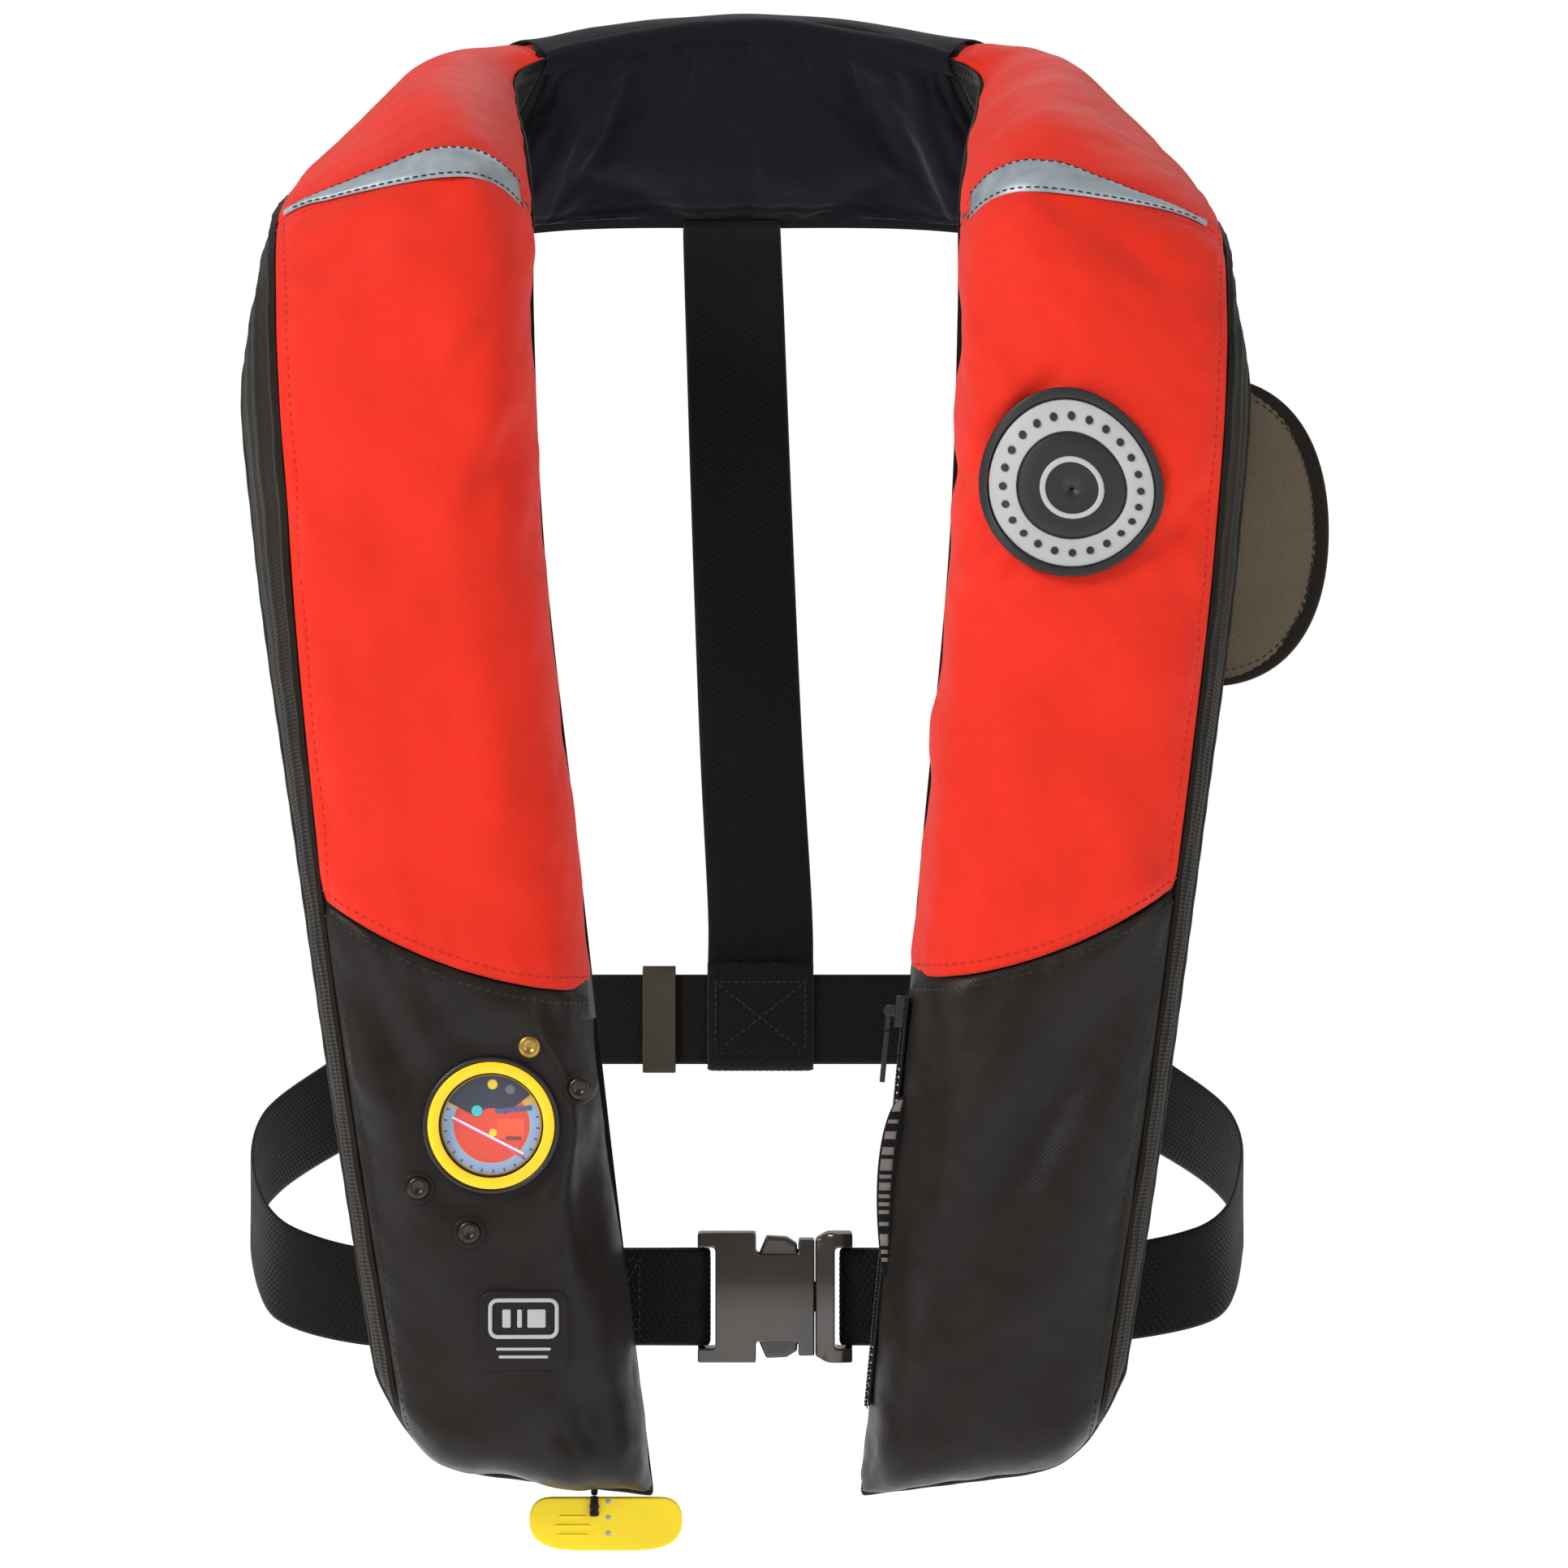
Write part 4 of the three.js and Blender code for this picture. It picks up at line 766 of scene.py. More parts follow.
def make_covers(side, m):
    """The chest, shoulder and lower covers of one side, and the allowances behind their seams."""
    seam, tape = seam_station(side), tape_station(side)
    seed = {"left": 11, "right": 23}[side]
    made = {}

    def cover(name, material, grid, normals, flat, folds, lumps):
        edges = ("start", "end", "low")
        loose = 1.7 * crease(grid, folds)
        loose += lumps * (ripple(grid, 48, seed + 3) + 0.35 * ripple(grid, 17, seed + 5))
        sewn = np.minimum.reduce([border(grid, e) * (0.5 if e in flat[1:] else 1) for e in edges])
        relief = seam_relief(grid, edges, seed, flat) + loose * smoothstep(sewn, 0, 9)
        if side == "right":
            off = np.hypot(grid[..., 0] - WINDOW[0], grid[..., 2] - WINDOW[1]) - WINDOW_RADIUS
            relief = relief * smoothstep(off, 1, 12)
        face = puff(grid, normals, relief)
        normals = grid_normals(face, normals)
        made[name] = (face, normals)
        return shell_object(f"{side}_{name}", face, inside_of(face, normals, COVER_CLOTH), material)

    grid, normals = cover_grid(side, seam, tape, 92)
    piece(cover("chest_panel", m["red"], grid, normals, ("low", "end"), FOLDS[side], 1.0), JACKET,
          "red_fabric", f"{side}_chest_cover")
    grid, normals = cover_grid(side, tape, yoke_station, 84)
    piece(cover("shoulder_panel", m["red"], grid, normals, ("low", "start"), FOLDS[side], 0.8), JACKET,
          "red_fabric", f"{side}_shoulder_cover")
    grid, normals = cover_grid(side, bottom_station, seam, 80, ease=1.35, open_end=OPEN_END)
    lower = cover("lower_panel", m["coated"], grid, normals, ("low",), LOWER_FOLDS[side], 0.5)
    if side == "right":
        pierce(lower, WINDOW, WINDOW_HOLE)
    piece(lower, JACKET, "coated_fabric", f"{side}_lower_cover")
    for name, station in (("front", seam), ("shoulder", tape), ("nape", yoke_station)):
        seam_lining(f"{side}_{name}_seam_lining", side, station, m)
    return made


def pierce(made, centre, radius):
    """Cuts a round hole through a shell, seen from the front, and closes its rim."""
    bm = bmesh.new()
    bm.from_mesh(made.data)
    middle = Vector((centre[0] * MM, 0, centre[1] * MM))

    def away(point):
        return Vector((point.x - middle.x, 0, point.z - middle.z))

    inside = [f for f in bm.faces if away(f.calc_center_median()).length < radius * MM]
    bmesh.ops.delete(bm, geom=inside, context="FACES")
    rim = [e for e in bm.edges if e.is_boundary]
    for vert in {v for e in rim for v in e.verts}:
        off = away(vert.co)
        vert.co += off.normalized() * (radius * MM - off.length)
    bmesh.ops.bridge_loops(bm, edges=rim)
    bm.to_mesh(made.data)
    bm.free()


ALLOWANCE = 7 / 80  # how far a seam allowance reaches to each side, in stations


def seam_lining(name, side, station, m):
    """The seam allowance: a dark strip inside the cover, behind a seam."""
    v = np.linspace(-0.99, 0.995, 60)[None, :]
    k = station(v) + np.linspace(-1, 1, 7)[:, None] * ALLOWANCE
    grid = on_cover(side, k, np.broadcast_to(v, k.shape), -3.2)
    made = shell_object(name, grid, grid - 0.9 * grid_normals(grid, band_frame(side, k)[2]), m["black"], 0)
    piece(made, JACKET, "black_fabric")


# ---- Side walls, panels and collar ---------------------------------------------------------------

def make_trim(side, m, rows=150, columns=26):
    """The dark side wall: ribs along it and a piping cord at the cover's edge."""
    share = spread(0, 1, columns)[None, :]
    first = -1 + share * (trim_edge(side, 0.0) + 1)
    k = lerp(bottom_station(first), YOKE_STATION, np.linspace(0, 1, rows + 1)[:, None])
    v = -1 + share * (trim_edge(side, k) + 1)
    grid = on_cover(side, k, v, open_end=OPEN_END)
    normals = grid_normals(grid, -band_frame(side, k)[1] + 0.3 * band_frame(side, k)[2])
    away = lengths(grid, 1)
    full = away[:, -1:]
    relief = 1.5 * np.exp(-(((full - away - 2.2) / 1.2) ** 2))
    for share in (0.28, 0.5, 0.7):
        relief += 1.0 * np.exp(-(((away - share * full) / 1.7) ** 2))
    relief += 0.35 * ripple(grid, 22, 5) + 0.2 * np.sin(lengths(grid, 0) * 2 * np.pi / 9)
    relief *= smoothstep(away, 0, 2)
    face = puff(grid, normals, relief)
    back = inside_of(face, grid_normals(face, normals), FABRIC * 0.7)
    made = shell_object(f"{side}_edge_gusset", face, back, m["trim"])
    piece(made, JACKET, "trim_fabric", f"{side}_edge_trim")
    return face, grid_normals(face, normals)


def band_edge(side, v, start, end, count, lift):
    k = np.linspace(start, end, count)
    return on_band(side, k, v * np.ones(count), lift * np.ones(count))


def make_binding(side, m):
    """A bound edge where the cover meets the back panel: up the outer edge, and across the bottom."""
    v = np.concatenate([np.linspace(1, -0.72, 60), np.linspace(-0.74, -1, 24)])
    bottom = on_band(side, bottom_station(v), v, 1.2 + 0 * v)
    outer = band_edge(side, -1, float(bottom_station(-1.0)) + 0.02, YOKE_STATION, 200, 1.2)
    path, = resample(np.concatenate([bottom, outer]), 2.6)
    along = unit(np.gradient(path, axis=0))
    lift = unit(np.cross(along, np.cross(np.array([0, -1.0, 0.2]), along)))
    wide = np.cross(along, lift)
    grain = 1 + 0.05 * np.sin(np.linspace(0, 1, len(path)) * len(path) * 1.1)[:, None]
    rings = sweep(path, wide * grain, lift, round_profile(1.9, 10, 1.35))
    piece(tube_object(f"{side}_edge_binding", rings, m["trim"], 1), JACKET, "trim_fabric")


def make_back_panel(side, m, columns=40, rows=110):
    """The wearer's side of a lobe: soft cloth, quilted lengthwise, with a turned edge."""
    t = np.linspace(0, 1, rows + 1)[:, None]
    v = np.broadcast_to(spread(-1, 1, columns), (rows + 1, columns + 1))
    k = lerp(bottom_station(v), YOKE_STATION, t)
    inner = on_band(side, k, v, -GAP * np.ones_like(v))
    away = np.minimum(border(inner, "low"), border(inner, "high"))
    ends = border(inner, "start")
    pad = 0.9 * smoothstep(away, 0, 6) * (1 - 0.55 * np.exp(-(((away - 9) / 1.4) ** 2)))
    pad += 0.25 * ripple(inner, 26, 31) * smoothstep(away, 2, 12)
    pad *= smoothstep(ends, 0, 8)
    outer = on_band(side, k, v, -PANEL + 0.5 - pad)
    made = shell_object(f"{side}_back_cloth", outer, inner, m["black"])
    piece(made, JACKET, "black_fabric", f"{side}_back_panel")
    return outer, grid_normals(outer, -band_frame(side, k)[2])


def both_sides(start, rows):
    """Sides, stations and a running value over the nape, from the right shoulder to the left."""
    t = np.linspace(-1, 1, 2 * rows + 1)
    return t, lerp(NAPE_STATION, start, np.abs(t))


def yoke_points(t, k, v, lift):
    """Points on the band over both shoulders: t below zero lies on the right."""
    right = on_band("right", k, v, lift)
    left = on_band("left", k, v, lift)
    return np.where((t > 0)[..., None], left, right)


def yoke_normals(t, k):
    return np.where((t > 0)[..., None], band_frame("left", k)[2], band_frame("right", k)[2])


def make_yoke(m, columns=40, rows=40):
    t, k = both_sides(YOKE_STATION, rows)
    v = np.broadcast_to(spread(-1, 1, columns), (len(t), columns + 1))
    tt, kk = np.broadcast_to(t[:, None], v.shape), np.broadcast_to(k[:, None], v.shape)
    height = thickness_at(kk) * (1 - np.abs(v) ** 4).clip(0) ** (1 / 2.2)
    grid = yoke_points(tt, kk, v, height + GAP)
    normals = grid_normals(grid, yoke_normals(tt, kk))
    relief = seam_relief(grid, ("start", "end"), 61) + 0.5 * ripple(grid, 40, 62)
    relief += 0.3 * np.exp(-((v - 0.05) / 0.03) ** 2)
    face = puff(grid, normals, relief)
    turned = grid_normals(face, normals)
    made = shell_object("nape_cover_panel", face, inside_of(face, turned, COVER_CLOTH), m["red"])
    piece(made, JACKET, "red_fabric", "nape_cover")
    inner = yoke_points(tt, kk, v, -GAP + 0 * v)
    outer = yoke_points(tt, kk, v, -PANEL + 0 * v)
    made = shell_object("yoke_cloth", outer, inner, m["black"])
    piece(made, JACKET, "black_fabric", "yoke_panel")
    return face, turned


def make_nape_roll(m, columns=30, rows=44):
    """The jersey that rolls over the nape's neck edge, from the cover to the collar pad."""
    t, k = both_sides(YOKE_STATION - 0.04, rows)
    s = np.linspace(0, 1, columns + 1)
    v = np.interp(s, [0, 0.72, 0.86, 1], [0.3, 1.0, 1.0, 0.86])
    under = smoothstep(s, 0.72, 0.9)
    tt, kk = np.broadcast_to(t[:, None], (len(t), len(s))), np.broadcast_to(k[:, None], (len(t), len(s)))
    vv, under = np.broadcast_to(v, tt.shape), np.broadcast_to(under, tt.shape)
    height = thickness_at(kk) * (1 - np.abs(vv) ** 4).clip(0) ** (1 / 2.2)
    out = 1.6 * np.sin(np.pi * smoothstep(s, 0.5, 1.0))[None, :]
    grid = yoke_points(tt, kk, vv + out / 50, lerp(height + GAP + 2.4, -PANEL - GAP - 2.2, under))
    normals = grid_normals(grid, yoke_normals(tt, kk))
    grid = puff(grid, normals, 0.5 * ripple(grid, 34, 91) - 0.5 * np.exp(-(((s - 0.08) / 0.03) ** 2)))
    turned = grid_normals(grid, normals)
    made = shell_object("nape_roll", grid, inside_of(grid, turned, 1.0), m["neoprene"])
    piece(made, JACKET, "neoprene")
    return grid, turned


PAD_REACH = 0.9


def make_collar(m, columns=36, rows=46):
    """The collar pad: foam in stretch jersey, swelled by a cloth simulation and quilted at its rim."""
    t, k = both_sides(YOKE_STATION + 0.1, rows)
    v = np.broadcast_to(spread(-PAD_REACH, PAD_REACH, columns), (len(t), columns + 1))
    tt, kk = np.broadcast_to(t[:, None], v.shape), np.broadcast_to(k[:, None], v.shape)
    under = -PANEL - GAP
    crown = (1 - np.abs(v / PAD_REACH) ** 4).clip(0) ** 0.5 * (1 - np.abs(tt) ** 6).clip(0) ** 0.5
    base = yoke_points(tt, kk, v, under + 0 * v)
    face = yoke_points(tt, kk, v, under - GAP - 1.4 - (PAD_THICK - GAP - 4.6) * crown)
    made = shell_object("collar_cushion", face, base, m["neoprene"], 0)
    swell(made, pinned=len(face) * (columns + 1), pressure=3.5, cap=4.0)
    settle_collar(made, face.shape[:2], tt, v)
    made.modifiers.new("subdivision", "SUBSURF").levels = 1
    piece(made, JACKET, "neoprene", "collar_pad")


def swell(made, pinned, pressure, cap, frames=20):
    """Cloth simulation of a closed skin under pressure. Vertices from `pinned` on stay where they are."""
    mesh = made.data
    rest = np.array([v.co for v in mesh.vertices])
    group = made.vertex_groups.new(name="pinned")
    group.add(list(range(pinned, len(mesh.vertices))), 1.0, "REPLACE")
    settings = made.modifiers.new("cloth", "CLOTH").settings
    settings.quality = 6
    settings.mass = 0.25
    settings.tension_stiffness = 12
    settings.compression_stiffness = 12
    settings.bending_stiffness = 0.4
    settings.use_pressure = True
    settings.uniform_pressure_force = pressure
    settings.shrink_min = -0.03
    settings.vertex_group_mass = "pinned"
    settings.effector_weights.gravity = 0
    scene = bpy.context.scene
    for number in range(1, frames + 1):
        scene.frame_set(number)
    evaluated = made.evaluated_get(bpy.context.evaluated_depsgraph_get())
    moved = np.array([v.co for v in evaluated.data.vertices])
    made.modifiers.remove(made.modifiers["cloth"])
    scene.frame_set(1)
    step = moved - rest
    size = np.linalg.norm(step, axis=1, keepdims=True)
    limit = cap * MM
    rest += step * np.where(size > limit, limit / np.maximum(size, 1e-9), 1)
    mesh.vertices.foreach_set("co", rest.astype(np.float32).ravel())
    mesh.update()


def settle_collar(made, shape, t, v):
    """The stitched channel inside the pad's rim, and the soft upright creases of the stretch cloth."""
    mesh = made.data
    co = np.array([p.co for p in mesh.vertices]) / MM
    count = shape[0] * shape[1]
    grid = co[:count].reshape(*shape, 3)
    rim = np.minimum.reduce([border(grid, e) for e in ("start", "end", "low", "high")])
    toward = np.broadcast_to(np.array([0, -1.0, 0]), grid.shape)
    normals = grid_normals(grid, toward)
    relief = -1.1 * np.exp(-(((rim - 5) / 1.3) ** 2))
    for at, width, depth in ((-0.82, 0.05, 1.3), (-0.66, 0.06, 0.8), (0.62, 0.05, 1.1), (0.8, 0.05, 1.3),
                             (-0.3, 0.09, 0.4), (0.28, 0.08, 0.5)):
        bend = at + 0.05 * v
        relief -= depth * np.exp(-(((t - bend) / width) ** 2)) * smoothstep(rim, 3, 12)
    relief += 0.3 * ripple(grid, 30, 77) * smoothstep(rim, 3, 12)
    co[:count] = (grid + normals * relief[..., None]).reshape(-1, 3)
    mesh.vertices.foreach_set("co", (co * MM).astype(np.float32).ravel())
    mesh.update()


# ---- Pieces sewn to the covers -------------------------------------------------------------------

LIFT = 1.0  # where the sewn pieces start, above the cover's CAD face


def make_tape(side, m, stitches):
    """Retroreflective tape over the seam between the chest and the shoulder."""
    i = np.linspace(0, 1, 61)[:, None]
    j = np.linspace(-0.5, 0.5, 13)[None, :]
    v = lerp(-0.62, 0.985, i) + 0 * j
    wide = lerp(2, 12.7, smoothstep(i, 0, 0.8)) / 45
    k = tape_station(side)(v) + j * wide
    top = on_cover(side, k, v, 2.05 - 1.5 * np.abs(2 * j) ** 6)
    normals = grid_normals(top, band_frame(side, k)[2])
    top = puff(top, normals, 0.18 * ripple(top, 16, 3))
    base = on_cover(side, k, v, 0.35 + 0 * v)
    made = shell_object(f"{side}_tape", top, base, m["reflective"])
    piece(made, JACKET, "reflective_tape", f"{side}_reflective_tape")
    for column in (1, -2):
        stitches.row(top[4:, column], normals[4:, column], 3.4, 2.5, 0.3)


def place_on(side, x, z):
    """Station and v of a place on a lobe, given in the front's plane, for arrays of x and z."""
    k = station_at(side, z)
    middle, across, _, half = band_frame(side, k)
    return k, (x - middle[..., 0]) / (half[..., 0] * across[..., 0])


BADGE = (125.5, LOBE_TOP - 70, 35.4)


def make_badge(m):
    """A moulded rubber badge: a black rim, a grey ring with a plain bead pattern, and a raised bowl."""
    x0, z0, size = BADGE
    for name, (inside, outside, height), material in (
        ("badge_base", (0, size, 1.5), m["badge"]),
        ("badge_rim", (32.2, size, 3.0), m["badge"]),
        ("badge_ring", (21.2, 31.6, 2.1), m["badge_grey"]),
        ("badge_centre", (0, 20.4, 2.5), m["badge"]),
        ("badge_hoop", (10.2, 12.4, 3.1), m["badge_grey"]),
    ):
        made = annulus_on("left", x0, z0, inside, outside, LIFT, LIFT + height, name, material)
        if name == "badge_base":
            piece(made, JACKET, "badge_rubber", "badge_patch")
        else:
            piece(made, JACKET, "badge_rubber")
    for number in range(24):
        turn = 2 * math.pi * number / 24
        x, z = x0 + 26.4 * math.cos(turn), z0 + 26.4 * math.sin(turn)
        bead = annulus_on("left", x, z, 0, 1.5, LIFT + 2, LIFT + 2.7, f"badge_bead_{number + 1}",
                          m["badge"], 16)
        piece(bead, JACKET, "badge_rubber")


def annulus_on(side, x0, z0, inside, outside, low, high, name, material, sides=72):
    """A ring or disc with rounded edges that follows the cover, between two lifts."""
    width, rise = outside - inside, high - low
    bevel = min(0.5, 0.3 * width, 0.45 * rise)
    steps = [(outside, low), (outside, high - bevel), (outside - 0.3 * bevel, high - 0.3 * bevel),
             (outside - bevel, high)]
    if inside:
        steps += [(inside + width * s, high) for s in (0.66, 0.33)]
        steps += [(inside + bevel, high), (inside + 0.3 * bevel, high - 0.3 * bevel),
                  (inside, high - bevel), (inside, low), (inside + width / 2, low)]
    else:
        steps += [(outside * s, high) for s in (0.75, 0.5, 0.25, 0.03)]
        steps += [(outside * s, low) for s in (0.03, 0.35, 0.7)]
    turn = np.linspace(0, 2 * np.pi, sides, endpoint=False)
    rings = []
    for radius, lift in steps:
        x, z = x0 + radius * np.cos(turn), z0 + radius * np.sin(turn)
        k, v = place_on(side, x, z)
        rings.append(on_cover(side, k, v, lift + 0 * v))
    return tube_object(name, np.stack(rings), material, closed=bool(inside))


def make_label(m):
    """A blank woven label: a raised frame and plain bars in place of its print."""
    x0, z0, width, height = -84.9, LOBE_BOTTOM + 67.5, 34, 30
    piece(rounded_patch("label_base", "right", x0, z0, width, height, 5, LIFT - 0.5, LIFT + 0.5, m["coated"]),
          JACKET, "coated_fabric", "label_patch")
    frame_piece = rounded_frame("label_frame", "right", x0, z0 + 4.5, 27, 15.5, 3.5, 1.5, LIFT + 0.4,
                                LIFT + 1.0, m["badge_grey"])
    piece(frame_piece, JACKET, "black_plastic")
    for number, (dx, dz, wide) in enumerate(((-6.5, 4.5, 3.2), (-1.5, 4.5, 1.8), (5.0, 4.5, 7.0),
                                             (0, -7.2, 21), (0, -10.2, 19))):
        tall = 7.0 if number < 3 else 1.1
        bar = rounded_patch(f"label_bar_{number + 1}", "right", x0 + dx, z0 + dz, wide, tall,
                            0.5, LIFT + 0.4, LIFT + 0.8, m["badge_grey"], 4)
        piece(bar, JACKET, "black_plastic")


def outline_of(width, height, radius, steps=5):
    """A rounded rectangle's outline as offsets from its middle."""
    points = []
    for cx, cz, start in ((1, 1, 0), (-1, 1, 90), (-1, -1, 180), (1, -1, 270)):
        for a in np.radians(start + np.linspace(0, 90, steps)):
            points.append((cx * (width / 2 - radius) + radius * math.cos(a),
                           cz * (height / 2 - radius) + radius * math.sin(a)))
    return np.array(points)


def on_lobe_rings(side, x0, z0, outlines, lifts):
    rings = []
    for outline, lift in zip(outlines, lifts):
        k, v = place_on(side, x0 + outline[:, 0], z0 + outline[:, 1])
        rings.append(on_cover(side, k, v, lift + 0 * v))
    return np.stack(rings)


def rounded_patch(name, side, x0, z0, width, height, radius, low, high, material, steps=5):
    full = outline_of(width, height, radius, steps)
    shares = (0.02, 0.4, 0.75, 1.0, 1.0, 0.97, 0.8, 0.5, 0.02)
    lifts = (low, low, low, low, high - 0.2, high, high, high, high)
    return tube_object(name, on_lobe_rings(side, x0, z0, [full * s for s in shares], lifts), material)


def rounded_frame(name, side, x0, z0, width, height, radius, line, low, high, material):
    outer = outline_of(width, height, radius)
    inner = outline_of(width - 2 * line, height - 2 * line, max(0.5, radius - line))
    rings = on_lobe_rings(side, x0, z0, [outer, outer, inner, inner], (low, high, high, low))
    return tube_object(name, rings, material, closed=True)


# ---- Webbing -------------------------------------------------------------------------------------

WEBBING, WEBBING_THICK = 38.1, 2.0
BELT_Y, BELT_Z = -CHEST_DEPTH + 14, LOBE_BOTTOM + 75
BELT_RISE, BACK_DEPTH = 102, 46
BACK_BELT_Z = BELT_Z + BELT_RISE
FEMALE_TURN, MALE_TURN, TURN = -14.3, 37.4, 2.6
STUB_END, LEFT_START, LAYER = 128, 101, WEBBING_THICK + GAP + 0.1
UP, RIGHTWARD = np.array([0, 0, 1.0]), np.array([1.0, 0, 0])


def web_profile(width, thick, ribs=9):
    """A webbing's section: low ribs along both faces and round selvedges."""
    a = np.linspace(-1, 1, 4 * ribs + 1)[1:-1]
    b = (1 - np.abs(a) ** 14) ** 0.5 * (0.9 + 0.1 * np.cos(np.pi * ribs * a * 2))
    b = b * np.where(np.abs(a) > 0.9, 1.04, 1.0)
    face = np.stack([a * width / 2, b * thick / 2], -1)
    ends = np.array([[width / 2, 0.0]])
    return np.concatenate([face, ends, face[::-1] * (1, -1), -ends])


def strap_path(points, width, up, step=2.4):
    """Even points along a strap's route, with the directions across it and through it."""
    route = catmull(points)
    fine = route(np.linspace(0, 1, 1500))
    share = np.linspace(0, 1, 1500)
    away = np.concatenate([[0], np.cumsum(np.linalg.norm(np.diff(fine, axis=0), axis=1))])
    count = int(away[-1] / step) + 1
    t = np.interp(np.linspace(0, away[-1], count), away, share)
    at = route(t)
    along = unit(route(np.minimum(t + 1e-4, 1)) - route(np.maximum(t - 1e-4, 0)))
    wide = unit(up - along * (along @ up)[:, None])
    through = np.cross(along, wide)
    widths = width(t) if callable(width) else np.full(count, float(width))
    return at, wide, through, widths


def make_strap(name, points, width, up, material, sag=0.25, seed=1):
    at, wide, through, widths = strap_path(points, width, up)
    profile = web_profile(1.0, 1.0)
    wave = sag * ripple(at, 55, seed) * smoothstep(np.arange(len(at)), 0, 6)
    at = at + through * wave[:, None]
    rings = (at[:, None] + wide[:, None] * profile[None, :, :1] * widths[:, None, None]
             + through[:, None] * profile[None, :, 1:] * WEBBING_THICK * 0.92)
    made = tube_object(name, rings, material)
    uv = np.stack([np.broadcast_to(profile[None, :, 0] * widths[:, None], rings.shape[:2]),
                   np.broadcast_to(lengths(at[:, None], 0), rings.shape[:2])], -1).reshape(-1, 2)
    repaint(made, uv)
    return made, at, wide, through


def repaint(made, uv):
    """Sets a mesh's cloth map from millimetres per vertex."""
    mesh = made.data
    index = np.empty(len(mesh.loops), np.int32)
    mesh.loops.foreach_get("vertex_index", index)
    mesh.uv_layers[CLOTH_MAP].uv.foreach_set("vector", (uv[index] * MM).astype(np.float32).ravel())


def side_route(side):
    s = SIGN[side]
    return [(s * 150, BELT_Y, BELT_Z), (s * 183, BELT_Y + 9, BELT_Z + 9), (s * 199, BELT_Y + 52, BELT_Z + 30),
            (s * 197, BELT_Y + 98, BELT_Z + 49), (s * 170, BACK_DEPTH - 26, BELT_Z + BELT_RISE * 0.67),
            (s * 130, BACK_DEPTH - 7, BELT_Z + BELT_RISE * 0.88), (s * 95, BACK_DEPTH, BACK_BELT_Z),
            (s * 84, BACK_DEPTH, BACK_BELT_Z), (s * 60, BACK_DEPTH, BACK_BELT_Z),
            (s * 30, BACK_DEPTH, BACK_BELT_Z)]


def box_stitch(stitches, middle, wide, along, through, width, length, lift):
    """A sewn box with a cross inside it, on the face that `through` points out of."""
    corners = [middle + wide * a * width / 2 + along * b * length / 2 + through * lift
               for a, b in ((-1, -1), (1, -1), (1, 1), (-1, 1))]
    lines = [(0, 1), (1, 2), (2, 3), (3, 0), (0, 2), (1, 3)]
    for a, b in lines:
        path = lerp(corners[a], corners[b], np.linspace(0, 1, 20)[:, None])
        stitches.row(path, np.broadcast_to(through, path.shape), 3.0, 2.3, 0.34)


def make_straps(m, stitches):
    tail = [(-62, BELT_Y + TURN, BELT_Z), (-40, BELT_Y + TURN, BELT_Z),
            (FEMALE_TURN - TURN, BELT_Y + TURN, BELT_Z), (FEMALE_TURN, BELT_Y, BELT_Z),
            (FEMALE_TURN - TURN, BELT_Y - TURN, BELT_Z), (-40, BELT_Y - TURN, BELT_Z),
            (-100, BELT_Y, BELT_Z)]
    right = [*tail, *side_route("right"), (0.15, BACK_DEPTH, BACK_BELT_Z)]
    made, *_ = make_strap("waist_webbing_right", right, WEBBING, UP, m["webbing"], 0.15, seed=4)
    piece(made, JACKET, "webbing", "waist_belt_right")
    left = [(LEFT_START, BELT_Y + LAYER / 2, BELT_Z), (LEFT_START + 25, BELT_Y + LAYER / 2, BELT_Z),
            (LEFT_START + 33, BELT_Y + LAYER / 2, BELT_Z), *side_route("left")[1:],
            (-0.15, BACK_DEPTH, BACK_BELT_Z)]
    made, *_ = make_strap("waist_webbing_left", left, WEBBING, UP, m["webbing"], 0.1, seed=5)
    piece(made, JACKET, "webbing", "waist_belt_left")
    stub = [(MALE_TURN + 26, BELT_Y + TURN, BELT_Z), (MALE_TURN + 14, BELT_Y + TURN, BELT_Z),
            (MALE_TURN + TURN, BELT_Y + TURN, BELT_Z), (MALE_TURN, BELT_Y, BELT_Z),
            (MALE_TURN + TURN, BELT_Y - TURN, BELT_Z), (MALE_TURN + 22, BELT_Y - TURN, BELT_Z),
            (STUB_END - 56, BELT_Y - LAYER / 2, BELT_Z), (STUB_END - 48, BELT_Y - LAYER / 2, BELT_Z),
            (STUB_END, BELT_Y - LAYER / 2, BELT_Z)]
    made, *_ = make_strap("front_webbing_left", stub, WEBBING, UP, m["webbing"], 0.0)
    piece(made, "buckle_plug", "webbing", "front_strap_left")
    front = np.array([0, -1.0, 0])
    sewn = Stitches("front_strap_stitching", m["black_thread"], "buckle_plug", "webbing")
    box_stitch(sewn, np.array([MALE_TURN + 19, BELT_Y - TURN, BELT_Z]), UP, RIGHTWARD, front, 30, 13, 1.0)
    sewn.make()
    box_stitch(stitches, np.array([-50, BELT_Y - TURN + 0.2, BELT_Z]), UP, RIGHTWARD, front, 30, 16, 1.0)
    make_back_strap(m, stitches)


